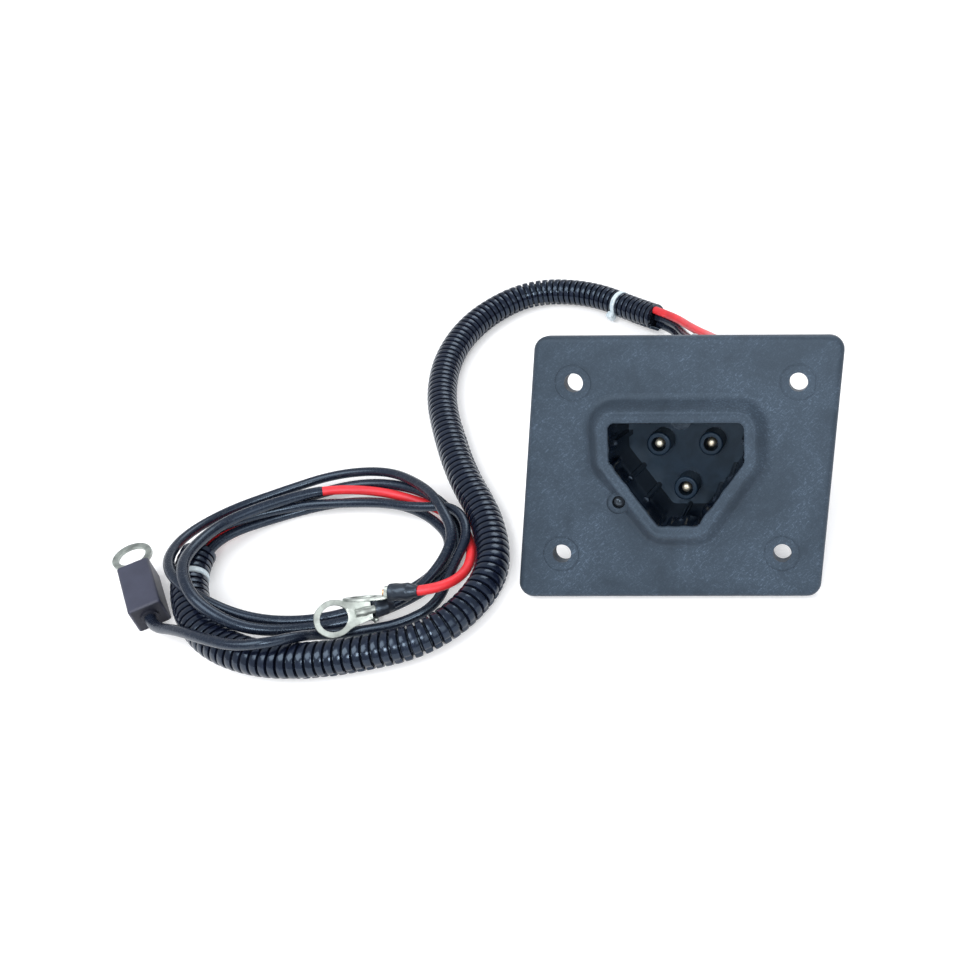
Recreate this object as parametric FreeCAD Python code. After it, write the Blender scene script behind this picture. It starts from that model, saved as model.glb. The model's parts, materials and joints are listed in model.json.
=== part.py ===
import FreeCAD, Part
import math
import os
from FreeCAD import Vector

# Charging receptacle of a golf cart: a moulded face plate with a keyed three-pin socket,
# a back cap and a harness that runs through a split loom to two ring terminals and a fuse.
# Millimetres, +Z up. The receptacle leans back on its cap, as it lies when it is put down.

os.makedirs("parts", exist_ok=True)

# Face plate
plate_w = 125.0
plate_h = 108.0
plate_slant = 0.105
plate_corner_r = 6.0
plate_edge_r = 2.5
skin = 3.0
rim_depth = 6.0
rim_wall = 2.5

# Mounting holes
hole_d = 7.6
hole_span_w = 90.5
hole_span_h = 70.5
witness_d = 15.2
witness_depth = 0.3
hole_boss_d = 14.0

# Socket mouth, measured from the centre of the mouth
mouth_rise = 0.4
mouth_w = 55.0
mouth_top = 19.5
mouth_shoulder = 3.0
mouth_bottom = -23.2
mouth_bottom_w = 16.4
mouth_corner_r = 3.0

# Collar round the mouth
collar_h = 6.0
collar_land = 4.5
collar_diag_land = 4.0
collar_foot = 4.5
collar_foot_r = 2.5
collar_edge_r = 1.0

# Socket body
socket_wall = 3.0
socket_depth = 30.0
socket_draft = 1.5
rib_start = 3.0
top_rib_x = 14.3
top_rib_w = 5.2
top_rib_h = 1.6
side_rib_w = 2.0
side_rib_h = 1.8
side_rib_z = 9.9
diag_rib_r = 1.3
diag_rib_at = (0.33, 0.66)
foot_rib_r = 1.0
key_r = 4.6
key_start = 8.0

# Contact carrier
carrier_t = 4.0
barrel_d = 10.2
barrel_bore_d = 6.2
barrel_h = 13.0
barrel_edge_r = 0.9
upper_contact_x = 11.0
upper_contact_z = 6.8
lower_contact_z = -12.2

# Contact pins
pin_d = 3.8
pin_tip_gap = 1.5
pin_fit = 0.1
shoulder_d = 6.0
shoulder_t = 2.0
crimp_d = 4.8
crimp_bore_d = 3.0
crimp_l = 9.5

# Back cap
cap_depth = 16.9
cap_wall = 2.4
cap_edge_r = 1.5

# Screws
screw_d = 3.0
screw_fit = 0.1
screw_grip = 9.0
screw_head_d = 5.6
screw_head_t = 2.2
screw_drive = 1.6
boss_d = 8.0
boss_gap = 0.3
upper_screw_z = 11.6
lower_screw_at = 0.85
ear_t = 4.0

# Indicator lamp
lamp_along = 0.474
lamp_out = 8.39
lamp_d = 5.0
lamp_fit = 0.15
lamp_recess_d = 9.4
lamp_recess_depth = 0.8
lamp_set_back = 1.0
lamp_flange_d = 6.0
lamp_flange_t = 1.0
holder_d = 8.6
holder_l = 6.0

# Lead grommet
grommet_at = 7.2
grommet_l = 22.0
grommet_w = 7.0
grommet_lip = 1.6
grommet_lip_t = 1.5
stub_d = 6.0
stub_h = 3.6
feed_pitch = 7.0

# Harness
lead_d = 4.2
strand_d = 2.8
loom_d = 14.0
tie_w = 2.6
tie_t = 1.0
tie_head = (5.0, 4.4, 3.6)
tie_tail = 3.0

# Ring terminals
ring_d = 15.0
ring_hole_d = 10.4
ring_t = 1.5
ring_neck_w = 6.4
terminal_barrel_d = 5.6
terminal_barrel_l = 8.0
strand_show = 1.2
sleeve_d = 7.0
sleeve_grip = 5.0
sleeve_bare = 1.5

# Fuse case
fuse_l = 28.9
fuse_w = 12.0
fuse_h = 12.0
fuse_edge_r = 1.2
fuse_ring_reach = 15.0
fuse_tongue_w = 8.4
fuse_tongue_seat = 5.0
fuse_ring_z = 8.0
fuse_boot_d = 6.4
fuse_boot_l = 1.2

# Places that follow from the sizes
socket_z = plate_h / 2 + mouth_rise
cap_end = socket_depth + carrier_t + cap_depth
cap_low = socket_z + mouth_bottom - socket_wall
cap_top = socket_z + mouth_top + socket_wall

# The rear edge of the rim and the rounded low edge of the cap carry the receptacle.
reach = cap_end - cap_edge_r - rim_depth
rise = cap_low + cap_edge_r
lean = math.atan2(rise, reach) - math.asin(cap_edge_r / math.hypot(reach, rise))
sin_l, cos_l = math.sin(lean), math.cos(lean)
front_y = plate_edge_r * (sin_l + cos_l - 1)
rear_y = (cap_end - cap_edge_r) * cos_l + (cap_top - cap_edge_r) * sin_l + cap_edge_r
origin_y = (front_y + rear_y) / 2


def stand(shape):
    """Lean an upright shape back and set it on the floor."""
    s = shape.copy()
    s.rotate(Vector(0, 0, 0), Vector(1, 0, 0), -math.degrees(lean))
    s.translate(Vector(0, -origin_y, rim_depth * sin_l))
    return s


def stand_point(x, y, z):
    return Vector(x, y * cos_l + z * sin_l - origin_y, z * cos_l - y * sin_l + rim_depth * sin_l)


def stand_dir(x, y, z):
    return Vector(x, y * cos_l + z * sin_l, z * cos_l - y * sin_l)


def offset_polygon(points, d):
    """Move each side of a convex polygon outwards; d is one value or one for each side."""
    n = len(points)
    ds = d if isinstance(d, (list, tuple)) else [d] * n
    area = sum(points[i][0] * points[(i + 1) % n][1] - points[(i + 1) % n][0] * points[i][1] for i in range(n))
    turn = 1 if area > 0 else -1
    lines = []
    for i in range(n):
        (x0, z0), (x1, z1) = points[i], points[(i + 1) % n]
        length = math.hypot(x1 - x0, z1 - z0)
        nx, nz = turn * (z1 - z0) / length, -turn * (x1 - x0) / length
        lines.append((x0 + nx * ds[i], z0 + nz * ds[i], x1 - x0, z1 - z0))
    out = []
    for i in range(n):
        ax, az, adx, adz = lines[i - 1]
        bx, bz, bdx, bdz = lines[i]
        det = adx * bdz - adz * bdx
        t = ((bx - ax) * bdz - (bz - az) * bdx) / det
        out.append((ax + adx * t, az + adz * t))
    return out


def rounded(points, radius, y):
    """Closed outline in the plane Y = y with an arc at each corner."""
    n = len(points)
    cuts = []
    for i in range(n):
        p = Vector(points[i][0], y, points[i][1])
        a = Vector(points[i - 1][0], y, points[i - 1][1]) - p
        b = Vector(points[(i + 1) % n][0], y, points[(i + 1) % n][1]) - p
        half = a.getAngle(b) / 2
        back = radius / math.tan(half)
        a.normalize()
        b.normalize()
        mid = a + b
        mid.normalize()
        cuts.append((p + a * back, p + mid * (radius / math.sin(half) - radius), p + b * back))
    edges = []
    for i in range(n):
        start, middle, end = cuts[i]
        edges.append(Part.Arc(start, middle, end).toShape())
        edges.append(Part.LineSegment(end, cuts[(i + 1) % n][0]).toShape())
    return Part.Wire(edges)


def slab(wire, depth):
    return Part.Face(wire).extrude(Vector(0, depth, 0))


def rod(x, z, y0, y1, d):
    return Part.makeCylinder(d / 2, y1 - y0, Vector(x, y0, z), Vector(0, 1, 0))


def put(name, shape):
    if isinstance(shape, Part.Compound) and len(shape.Solids) == 1:
        shape = shape.Solids[0]
    shape.exportStep("parts/%s.step" % name)
    print("%-22s solids %d  volume %9.1f  valid %s" % (name, len(shape.Solids), shape.Volume, shape.isValid()))


half_slant = plate_slant * plate_h / 2
plate_corners = [
    (-plate_w / 2 - half_slant, 0),
    (plate_w / 2 - half_slant, 0),
    (plate_w / 2 + half_slant, plate_h),
    (-plate_w / 2 + half_slant, plate_h),
]
mouth = [
    (-mouth_bottom_w / 2, socket_z + mouth_bottom),
    (mouth_bottom_w / 2, socket_z + mouth_bottom),
    (mouth_w / 2, socket_z + mouth_shoulder),
    (mouth_w / 2, socket_z + mouth_top),
    (-mouth_w / 2, socket_z + mouth_top),
    (-mouth_w / 2, socket_z + mouth_shoulder),
]
holes = [
    (sx * hole_span_w / 2 + plate_slant * sz * hole_span_h / 2, plate_h / 2 + sz * hole_span_h / 2)
    for sz in (-1, 1)
    for sx in (-1, 1)
]
diag_dx = (mouth_w - mouth_bottom_w) / 2
diag_dz = mouth_shoulder - mouth_bottom
diag_l = math.hypot(diag_dx, diag_dz)
diag_n = (diag_dz / diag_l, -diag_dx / diag_l)


def on_diagonal(at, out):
    """Point on the right diagonal of the mouth, moved outwards; 0 is its upper end."""
    return (
        mouth_w / 2 - at * diag_dx + out * diag_n[0],
        socket_z + mouth_shoulder - at * diag_dz + out * diag_n[1],
    )


def wall_in(y):
    """How far the draft has brought the wall in at depth y."""
    return socket_draft * (y + collar_h) / (socket_depth + collar_h)


# Screw places: (x, z, direction towards the socket)
ear_out = socket_wall + boss_gap + boss_d / 2
low_x, low_z = on_diagonal(lower_screw_at, ear_out)
screws = []
for s in (-1, 1):
    screws.append((s * (mouth_w / 2 + ear_out), socket_z + upper_screw_z, -s, 0.0))
    screws.append((s * low_x, low_z, -s * diag_n[0], -diag_n[1]))


def ears(y0, y1):
    """Lugs for the screws, each joined to the socket outline."""
    out = None
    for x, z, dx, dz in screws:
        r = boss_d / 2
        px, pz = -dz * r, dx * r
        far = ear_out - socket_wall + 1.5
        pts = [
            Vector(x + px, y0, z + pz),
            Vector(x + px + dx * far, y0, z + pz + dz * far),
            Vector(x - px + dx * far, y0, z - pz + dz * far),
            Vector(x - px, y0, z - pz),
        ]
        tab = Part.Face(Part.makePolygon(pts + [pts[0]])).extrude(Vector(0, y1 - y0, 0))
        lug = tab.fuse(rod(x, z, y0, y1, boss_d))
        out = lug if out is None else out.fuse(lug)
    return out


# Face plate with its collar
plate = slab(rounded(plate_corners, plate_corner_r, 0), rim_depth)
front = [e for e in plate.Edges if abs(e.BoundBox.YMin) < 1e-6 and abs(e.BoundBox.YMax) < 1e-6]
plate = plate.makeFillet(plate_edge_r, front)
pocket = slab(rounded(offset_polygon(plate_corners, -rim_wall), plate_corner_r - rim_wall, skin), rim_depth)
plate = plate.cut(pocket)
for x, z in holes:
    plate = plate.fuse(rod(x, z, skin - 0.5, rim_depth, hole_boss_d))
lands = [collar_land, collar_diag_land, collar_land, collar_land, collar_land, collar_diag_land]
foots = [w + collar_foot for w in lands]
collar = Part.makeLoft(
    [
        rounded(offset_polygon(mouth, foots), mouth_corner_r + collar_land + collar_foot, 0),
        rounded(offset_polygon(mouth, lands), mouth_corner_r + collar_land, -collar_h),
    ],
    True,
    True,
)
body = plate.fuse(collar)
foot_out = max(collar_land, collar_diag_land) + collar_foot + collar_foot_r
foot_reach = mouth_w / 2 + foot_out
foot_low = socket_z + mouth_bottom - foot_out
foot_high = socket_z + mouth_top + foot_out
foot_edges = []
for e in body.Edges:
    b = e.BoundBox
    on_face = abs(b.YMin) < 1e-4 and abs(b.YMax) < 1e-4
    if on_face and b.XMin > -foot_reach and b.XMax < foot_reach and b.ZMin > foot_low and b.ZMax < foot_high:
        foot_edges.append(e)
if foot_edges:
    try_body = body.makeFillet(collar_foot_r, foot_edges)
    if try_body.isValid():
        body = try_body
top_edges = [e for e in body.Edges if abs(e.BoundBox.YMin + collar_h) < 1e-4 and abs(e.BoundBox.YMax + collar_h) < 1e-4]
body = body.makeFillet(collar_edge_r, top_edges)
span = socket_depth + collar_h
void = Part.makeLoft(
    [
        rounded(offset_polygon(mouth, socket_draft / span), mouth_corner_r, -collar_h - 1.0),
        rounded(offset_polygon(mouth, -wall_in(skin + 1.0)), mouth_corner_r, skin + 1.0),
    ],
    True,
    True,
)
body = body.cut(void)
for x, z in holes:
    body = body.cut(rod(x, z, -1, rim_depth + 1, hole_d))
    body = body.cut(rod(x, z, -1, witness_depth, witness_d).cut(rod(x, z, -2, witness_depth + 1, witness_d - 1.6)))
lamp_side_x, lamp_side_z = on_diagonal(lamp_along, lamp_out)
lamp_at = (-lamp_side_x, lamp_side_z)
body = body.cut(rod(lamp_at[0], lamp_at[1], -collar_h - 1, lamp_recess_depth, lamp_recess_d))
body = body.cut(rod(lamp_at[0], lamp_at[1], -1, skin + 1, lamp_d + 2 * lamp_fit))
put("face_plate", stand(body.removeSplitter()))

# Posts that stand on the back of the plate and take the cap screws
for i, (x, z, dx, dz) in enumerate(screws):
    post = rod(x, z, skin, socket_depth, boss_d)
    pilot = rod(x, z, socket_depth - screw_grip, socket_depth + 1, screw_d + 2 * screw_fit)
    put("screw_post_%d" % (i + 1), stand(post.cut(pilot)))

# Socket body: the drafted shell behind the plate with its keying ribs
shell = slab(rounded(offset_polygon(mouth, socket_wall), mouth_corner_r + socket_wall, skin), socket_depth - skin)
cavity = Part.makeLoft(
    [
        rounded(offset_polygon(mouth, -wall_in(skin)), mouth_corner_r, skin),
        rounded(offset_polygon(mouth, -wall_in(socket_depth)), mouth_corner_r, socket_depth),
    ],
    True,
    True,
)
outer = shell.copy()
shell = shell.cut(cavity)


def wall_rib(x, z, nx, nz, width, height, y0):
    """Rib on a drafted wall; (nx, nz) points into the cavity."""
    loops = []
    for y in (y0, socket_depth):
        base = wall_in(y)
        cx, cz = x + nx * base, z + nz * base
        tx, tz = -nz * width / 2, nx * width / 2
        q = [
            Vector(cx + tx - nx, y, cz + tz - nz),
            Vector(cx + tx + nx * height, y, cz + tz + nz * height),
            Vector(cx - tx + nx * height, y, cz - tz + nz * height),
            Vector(cx - tx - nx, y, cz - tz - nz),
        ]
        loops.append(Part.makePolygon(q + [q[0]]))
    return Part.makeLoft(loops, True, True)


def round_rib(x, z, nx, nz, r, y0):
    a = wall_in(y0)
    b = wall_in(socket_depth)
    p0 = Vector(x + nx * a, y0, z + nz * a)
    p1 = Vector(x + nx * b, socket_depth, z + nz * b)
    return Part.makeCylinder(r, (p1 - p0).Length, p0, p1 - p0)


ribs = []
for s in (-1, 1):
    ribs.append(wall_rib(s * top_rib_x, socket_z + mouth_top, 0, -1, top_rib_w, top_rib_h, rib_start))
    ribs.append(wall_rib(s * mouth_w / 2, socket_z + side_rib_z, -s, 0, side_rib_w, side_rib_h, rib_start))
    for at in diag_rib_at:
        x, z = on_diagonal(at, 0)
        ribs.append(round_rib(s * x, z, -s * diag_n[0], -diag_n[1], diag_rib_r, rib_start))
ribs.append(round_rib(0, socket_z + mouth_bottom, 0, 1, foot_rib_r, rib_start))
ribs.append(round_rib(0, socket_z + mouth_top, 0, -1, key_r, key_start))
for rib in ribs:
    shell = shell.fuse(rib.common(outer))
put("socket_body", stand(shell.removeSplitter()))

# Contact carrier: flange, lugs and three shrouds
floor_y = socket_depth
rear_y0 = socket_depth + carrier_t
contacts = {
    "contact_positive": (-upper_contact_x, socket_z + upper_contact_z),
    "contact_negative": (upper_contact_x, socket_z + upper_contact_z),
    "contact_sense": (0.0, socket_z + lower_contact_z),
}
flange_wire = rounded(offset_polygon(mouth, socket_wall), mouth_corner_r + socket_wall, floor_y)
carrier = slab(flange_wire, carrier_t).fuse(ears(floor_y, rear_y0))
for x, z in contacts.values():
    shroud = rod(x, z, floor_y - barrel_h, floor_y + 0.5, barrel_d)
    rim = [e for e in shroud.Edges if abs(e.BoundBox.YMax - floor_y + barrel_h) < 1e-6]
    carrier = carrier.fuse(shroud.makeFillet(barrel_edge_r, rim))
for x, z in contacts.values():
    carrier = carrier.cut(rod(x, z, floor_y - barrel_h - 1, floor_y, barrel_bore_d))
    carrier = carrier.cut(rod(x, z, floor_y - 1, rear_y0 + 1, pin_d + 2 * pin_fit))
for x, z, dx, dz in screws:
    carrier = carrier.cut(rod(x, z, floor_y - 1, rear_y0 + 1, screw_d + 2 * screw_fit))
put("contact_carrier", stand(carrier.removeSplitter()))

# Contact pins
for name, (x, z) in contacts.items():
    tip = floor_y - barrel_h + pin_tip_gap
    r = pin_d / 2
    dome = r * 0.55
    profile = [
        Vector(0, tip, 0),
        Vector(r, tip + dome, 0),
        Vector(r, rear_y0, 0),
        Vector(shoulder_d / 2, rear_y0, 0),
        Vector(shoulder_d / 2, rear_y0 + shoulder_t, 0),
        Vector(crimp_d / 2, rear_y0 + shoulder_t, 0),
        Vector(crimp_d / 2, rear_y0 + shoulder_t + crimp_l, 0),
        Vector(0, rear_y0 + shoulder_t + crimp_l, 0),
    ]
    nose = Part.Arc(profile[0], Vector(r * 0.72, tip + dome * 0.32, 0), profile[1]).toShape()
    edges = [nose] + [Part.LineSegment(profile[i], profile[(i + 1) % 8]).toShape() for i in range(1, 8)]
    pin = Part.Face(Part.Wire(edges)).revolve(Vector(0, 0, 0), Vector(0, 1, 0), 360)
    pin = pin.cut(rod(0, 0, rear_y0 + shoulder_t + 1.5, cap_end, crimp_bore_d))
    pin.translate(Vector(x, 0, z))
    put(name, stand(pin))

# Back cap over the crimps
cap_y = rear_y0
cap = slab(rounded(offset_polygon(mouth, socket_wall), mouth_corner_r + socket_wall, cap_y), cap_depth)
back_edges = [e for e in cap.Edges if abs(e.BoundBox.YMin - cap_end) < 1e-6 and abs(e.BoundBox.YMax - cap_end) < 1e-6]
cap = cap.makeFillet(cap_edge_r, back_edges)
cap = cap.fuse(ears(cap_y, cap_y + ear_t))
inside = slab(
    rounded(offset_polygon(mouth, socket_wall - cap_wall), mouth_corner_r + socket_wall - cap_wall, cap_y - 1),
    cap_depth - cap_wall + 1,
)
cap = cap.cut(inside)
for x, z, dx, dz in screws:
    cap = cap.cut(rod(x, z, cap_y - 1, cap_y + ear_t + 1, screw_d + 2 * screw_fit))


def oblong(length, width, z0, z1):
    """Plate with round ends across the top of the cap."""
    y = cap_y + grommet_at
    a, r = length / 2 - width / 2, width / 2
    edges = [
        Part.LineSegment(Vector(-a, y - r, z0), Vector(a, y - r, z0)).toShape(),
        Part.Arc(Vector(a, y - r, z0), Vector(a + r, y, z0), Vector(a, y + r, z0)).toShape(),
        Part.LineSegment(Vector(a, y + r, z0), Vector(-a, y + r, z0)).toShape(),
        Part.Arc(Vector(-a, y + r, z0), Vector(-a - r, y, z0), Vector(-a, y - r, z0)).toShape(),
    ]
    return Part.Face(Part.Wire(edges)).extrude(Vector(0, 0, z1 - z0))


cap = cap.cut(oblong(grommet_l, grommet_w, cap_top - cap_wall - 1, cap_top + 1))
put("back_cap", stand(cap.removeSplitter()))

# Lead grommet: lip outside, neck in the slot, lip inside and a stub for each lead
grommet = oblong(grommet_l, grommet_w, cap_top - cap_wall, cap_top)
grommet = grommet.fuse(oblong(grommet_l + 2 * grommet_lip, grommet_w + 2 * grommet_lip, cap_top, cap_top + grommet_lip_t))
grommet = grommet.fuse(
    oblong(grommet_l + 2 * grommet_lip, grommet_w + 2 * grommet_lip, cap_top - cap_wall - grommet_lip_t, cap_top - cap_wall)
)
stub_top = cap_top + grommet_lip_t + stub_h
for x in (-feed_pitch, 0, feed_pitch):
    grommet = grommet.fuse(
        Part.makeCone(stub_d / 2 + 0.4, stub_d / 2, stub_h, Vector(x, cap_y + grommet_at, cap_top + grommet_lip_t), Vector(0, 0, 1))
    )
put("lead_grommet", stand(grommet.removeSplitter()))

# Screws, head on the cap's lugs
head_y = cap_y + ear_t
for i, (x, z, dx, dz) in enumerate(screws):
    shank = rod(x, z, socket_depth - screw_grip + 0.5, head_y, screw_d)
    head = rod(x, z, head_y, head_y + screw_head_t, screw_head_d)
    recess = Part.makeBox(screw_drive * 2, screw_head_t, 0.7, Vector(x - screw_drive, head_y + 1.2, z - 0.35))
    head = head.cut(recess)
    put("cap_screw_%d" % (i + 1), stand(shank.fuse(head).removeSplitter()))

# Indicator lamp and its holder behind the plate
lx, lz = lamp_at
holder = rod(lx, lz, skin, skin + holder_l, holder_d).cut(rod(lx, lz, skin - 1, skin + holder_l + 1, lamp_d + 2 * lamp_fit))
put("lamp_holder", stand(holder))
r = lamp_d / 2
lamp_y0 = lamp_set_back
lamp_rear = skin + holder_l
profile = [
    Vector(0, lamp_y0, 0),
    Vector(r, lamp_y0 + r * 0.8, 0),
    Vector(r, lamp_rear, 0),
    Vector(lamp_flange_d / 2, lamp_rear, 0),
    Vector(lamp_flange_d / 2, lamp_rear + lamp_flange_t, 0),
    Vector(0, lamp_rear + lamp_flange_t, 0),
]
nose = Part.Arc(profile[0], Vector(r * 0.72, lamp_y0 + r * 0.28, 0), profile[1]).toShape()
edges = [nose] + [Part.LineSegment(profile[i], profile[(i + 1) % 6]).toShape() for i in range(1, 6)]
lamp = Part.Face(Part.Wire(edges)).revolve(Vector(0, 0, 0), Vector(0, 1, 0), 360)
lamp.translate(Vector(lx, 0, lz))
put("status_lamp", stand(lamp))


# Cords: straight runs joined by tangent arcs
def cord_wire(points):
    pts = [Vector(*p) for p in points]
    edges, radii = [], []
    at = pts[0]
    for i in range(1, len(pts) - 1):
        a, b = pts[i] - pts[i - 1], pts[i + 1] - pts[i]
        shorter = min(a.Length, b.Length)
        turn = a.getAngle(b)
        back = 0.45 * shorter
        radius = back / math.tan(turn / 2)
        a.normalize()
        b.normalize()
        start, end = pts[i] - a * back, pts[i] + b * back
        inward = b - a
        inward.normalize()
        middle = pts[i] + inward * (radius / math.cos(turn / 2) - radius)
        edges.append(Part.LineSegment(at, start).toShape())
        edges.append(Part.Arc(start, middle, end).toShape())
        radii.append(radius)
        at = end
    edges.append(Part.LineSegment(at, pts[-1]).toShape())
    return Part.Wire(edges), radii


def cord(name, points, d):
    path, radii = cord_wire(points)
    a = Vector(*points[0])
    b = Vector(*points[1])
    ring = Part.Wire(Part.Circle(a, b - a, d / 2).toShape())
    tube = path.makePipeShell([ring], True, False)
    if tube.Volume < 0:
        tube.reverse()
    section = math.pi * d * d / 4
    print(
        "%s: length %.1f, radii %.1f to %.1f (%s), volume %.1f against %.1f"
        % (name, path.Length, min(radii), max(radii), " ".join("%.0f" % r for r in radii), tube.Volume, section * path.Length)
    )
    return tube, path


def station(path, s):
    """Point and direction at a length along a path."""
    for e in path.Edges:
        if s <= e.Length:
            first, last = e.ParameterRange
            u = e.getParameterByLength(s)
            return e.valueAt(u), e.tangentAt(u)
        s -= e.Length
    raise ValueError("past the end of the path")


loom_route = [
    (-34.6, 144.7, 9.0), (-47.6, 154.0, 7.0), (-75.7, 171.2, 7.0), (-109.3, 173.0, 7.0),
    (-132.6, 147.4, 7.0), (-139.6, 115.5, 7.0), (-134.9, 83.0, 7.0), (-122.3, 53.1, 7.0),
    (-107.4, 24.0, 7.0), (-88.9, -2.5, 7.0), (-78.0, -34.3, 7.0), (-93.9, -64.8, 7.0),
    (-126.1, -74.6, 7.0), (-158.3, -77.4, 7.0), (-189.2, -64.3, 7.0), (-208.9, -33.5, 7.0),
    (-208.5, -20.5, 7.0),
]
black_route = [
    (-206.10, -20.57, 5.60), (-205.82, -10.57, 5.60), (-185.1, 5.3, 2.1), (-163.3, 13.7, 2.2),
    (-139.4, 13.7, 2.5), (-118.5, 5.4, 2.4), (-102.5, -11.5, 2.1), (-108.3, -33.5, 2.1),
    (-129.3, -46.3, 2.1), (-149.6, -54.8, 3.6), (-171.6, -57.9, 9.0), (-193.7, -51.9, 16.8),
    (-212.6, -36.8, 15.9), (-219.0, -15.3, 9.6), (-209.7, 5.4, 4.9), (-188.9, 18.5, 4.6),
    (-167.8, 28.2, 6.0), (-142.9, 27.8, 8.6), (-122.7, 14.6, 12.6), (-109.1, -0.3, 16.1),
    (-97.5, -18.8, 11.3), (-110.96, -44.70, 4.68), (-120.66, -51.01, 7.85),
]
red_route = [
    (-210.90, -20.43, 5.60), (-210.62, -10.44, 5.60), (-195.4, 6.2, 3.6), (-176.0, 16.5, 3.6),
    (-155.4, 23.7, 4.4), (-133.5, 20.9, 5.8), (-114.2, 11.0, 6.6), (-101.8, -5.1, 6.3),
    (-98.0, -25.3, 2.6), (-111.5, -41.3, 2.1), (-130.3, -52.5, 2.2), (-150.2, -59.3, 4.1),
    (-169.3, -64.8, 11.1), (-187.5, -59.1, 19.5), (-200.2, -44.6, 21.3), (-205.6, -28.9, 17.3),
    (-201.9, -8.8, 12.9), (-185.0, 4.1, 11.9), (-167.4, 14.4, 9.6), (-147.2, 18.3, 5.3),
    (-127.0, 14.5, 2.7), (-107.8, 5.2, 2.1), (-94.7, -11.5, 2.8), (-89.6, -33.1, 8.4),
    (-96.75, -49.16, 16.27), (-108.74, -49.43, 15.94),
]
fuse_route = [
    (-208.50, -20.50, 9.75), (-208.22, -10.50, 9.75), (-193.2, 0.3, 7.9), (-175.9, 8.0, 6.3),
    (-157.9, 9.4, 6.1), (-139.8, 8.1, 7.6), (-123.1, 3.1, 9.7), (-104.2, 2.7, 11.2),
    (-94.5, -11.6, 9.7), (-98.1, -28.6, 6.4), (-99.5, -47.2, 4.5), (-113.1, -55.0, 2.2),
    (-126.0, -57.9, 2.1), (-136.6, -60.0, 2.2), (-142.6, -64.2, 7.6), (-145.0, -71.0, 15.1),
    (-152.2, -77.2, 19.5), (-164.5, -78.4, 19.0), (-178.6, -73.9, 17.4), (-194.7, -66.1, 13.1),
    (-210.13, -59.60, 6.00), (-213.60, -54.70, 6.00),
]
# Feed leads from the grommet over the back of the plate to the near end of the loom
feed_routes = {
    "feed_red": [
        (7.80, 56.30, 65.00), (7.50, 75.30, 53.00), (2.5, 91.3, 36.0), (-10.0, 112.3, 25.5),
        (-23.79, 136.91, 15.22), (-35.06, 145.03, 13.46),
    ],
    "feed_black": [
        (-0.60, 56.30, 62.50), (-2.00, 74.30, 48.50), (-6.0, 93.8, 31.0), (-15.0, 115.3, 18.5),
        (-23.33, 136.58, 10.75), (-34.60, 144.70, 9.00),
    ],
    "feed_third": [
        (-8.00, 56.30, 60.50), (-10.00, 73.80, 45.00), (-12.5, 93.3, 26.5), (-18.5, 114.3, 12.5),
        (-22.87, 136.25, 6.29), (-34.14, 144.37, 4.54),
    ],
}
feed_x = {"feed_red": feed_pitch, "feed_black": 0.0, "feed_third": -feed_pitch}
for name, route in feed_routes.items():
    start = stand_point(feed_x[name], cap_y + grommet_at, stub_top)
    first = start + stand_dir(0, 0, 1) * 8.0
    tube, path = cord(name, [tuple(start), tuple(first)] + route, lead_d)
    put(name, tube)

loom, loom_path = cord("split_loom", loom_route, loom_d)
for name, s, side in (("loom_tie_near", 27.5, -112.0), ("loom_tie_far", 475.3, -100.0)):
    p, t = station(loom_path, s)
    t.normalize()
    start = p - t * (tie_w / 2)
    groove = loom_d / 2 - tie_t
    loom = loom.cut(Part.makeCylinder(loom_d / 2 + 1, tie_w, start, t).cut(Part.makeCylinder(groove, tie_w, start, t)))
    band = Part.makeCylinder(loom_d / 2, tie_w, start, t).cut(Part.makeCylinder(groove, tie_w, start, t))
    up = Vector(0, 0, 1) - t * t.z
    up.normalize()
    across = t.cross(up)
    a = math.radians(side)
    out = up * math.cos(a) + across * math.sin(a)
    round_dir = t.cross(out)
    l, w, h = tie_head
    m = FreeCAD.Matrix(
        round_dir.x, t.x, out.x, p.x,
        round_dir.y, t.y, out.y, p.y,
        round_dir.z, t.z, out.z, p.z,
        0, 0, 0, 1,
    )
    head = Part.makeBox(l, w, h, Vector(-l / 2, -w / 2, loom_d / 2 - 0.3))
    tail = Part.makeBox(tie_tail, tie_w, tie_t, Vector(l / 2, -tie_w / 2, loom_d / 2 + 0.9))
    block = head.fuse(tail)
    block = block.transformGeometry(m)
    block = block.cut(Part.makeCylinder(loom_d / 2 - 0.05, 4 * tie_w, p - t * (2 * tie_w), t))
    loom = loom.cut(block)
    put(name, band.fuse(block).removeSplitter())
put("split_loom", loom)

black, path = cord("black_lead", black_route, lead_d)
put("black_lead", black)
fuse, path = cord("fuse_lead", fuse_route, lead_d)
put("fuse_lead", fuse)
red, path = cord("red_lead", red_route, lead_d)
put("red_lead", red)


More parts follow.
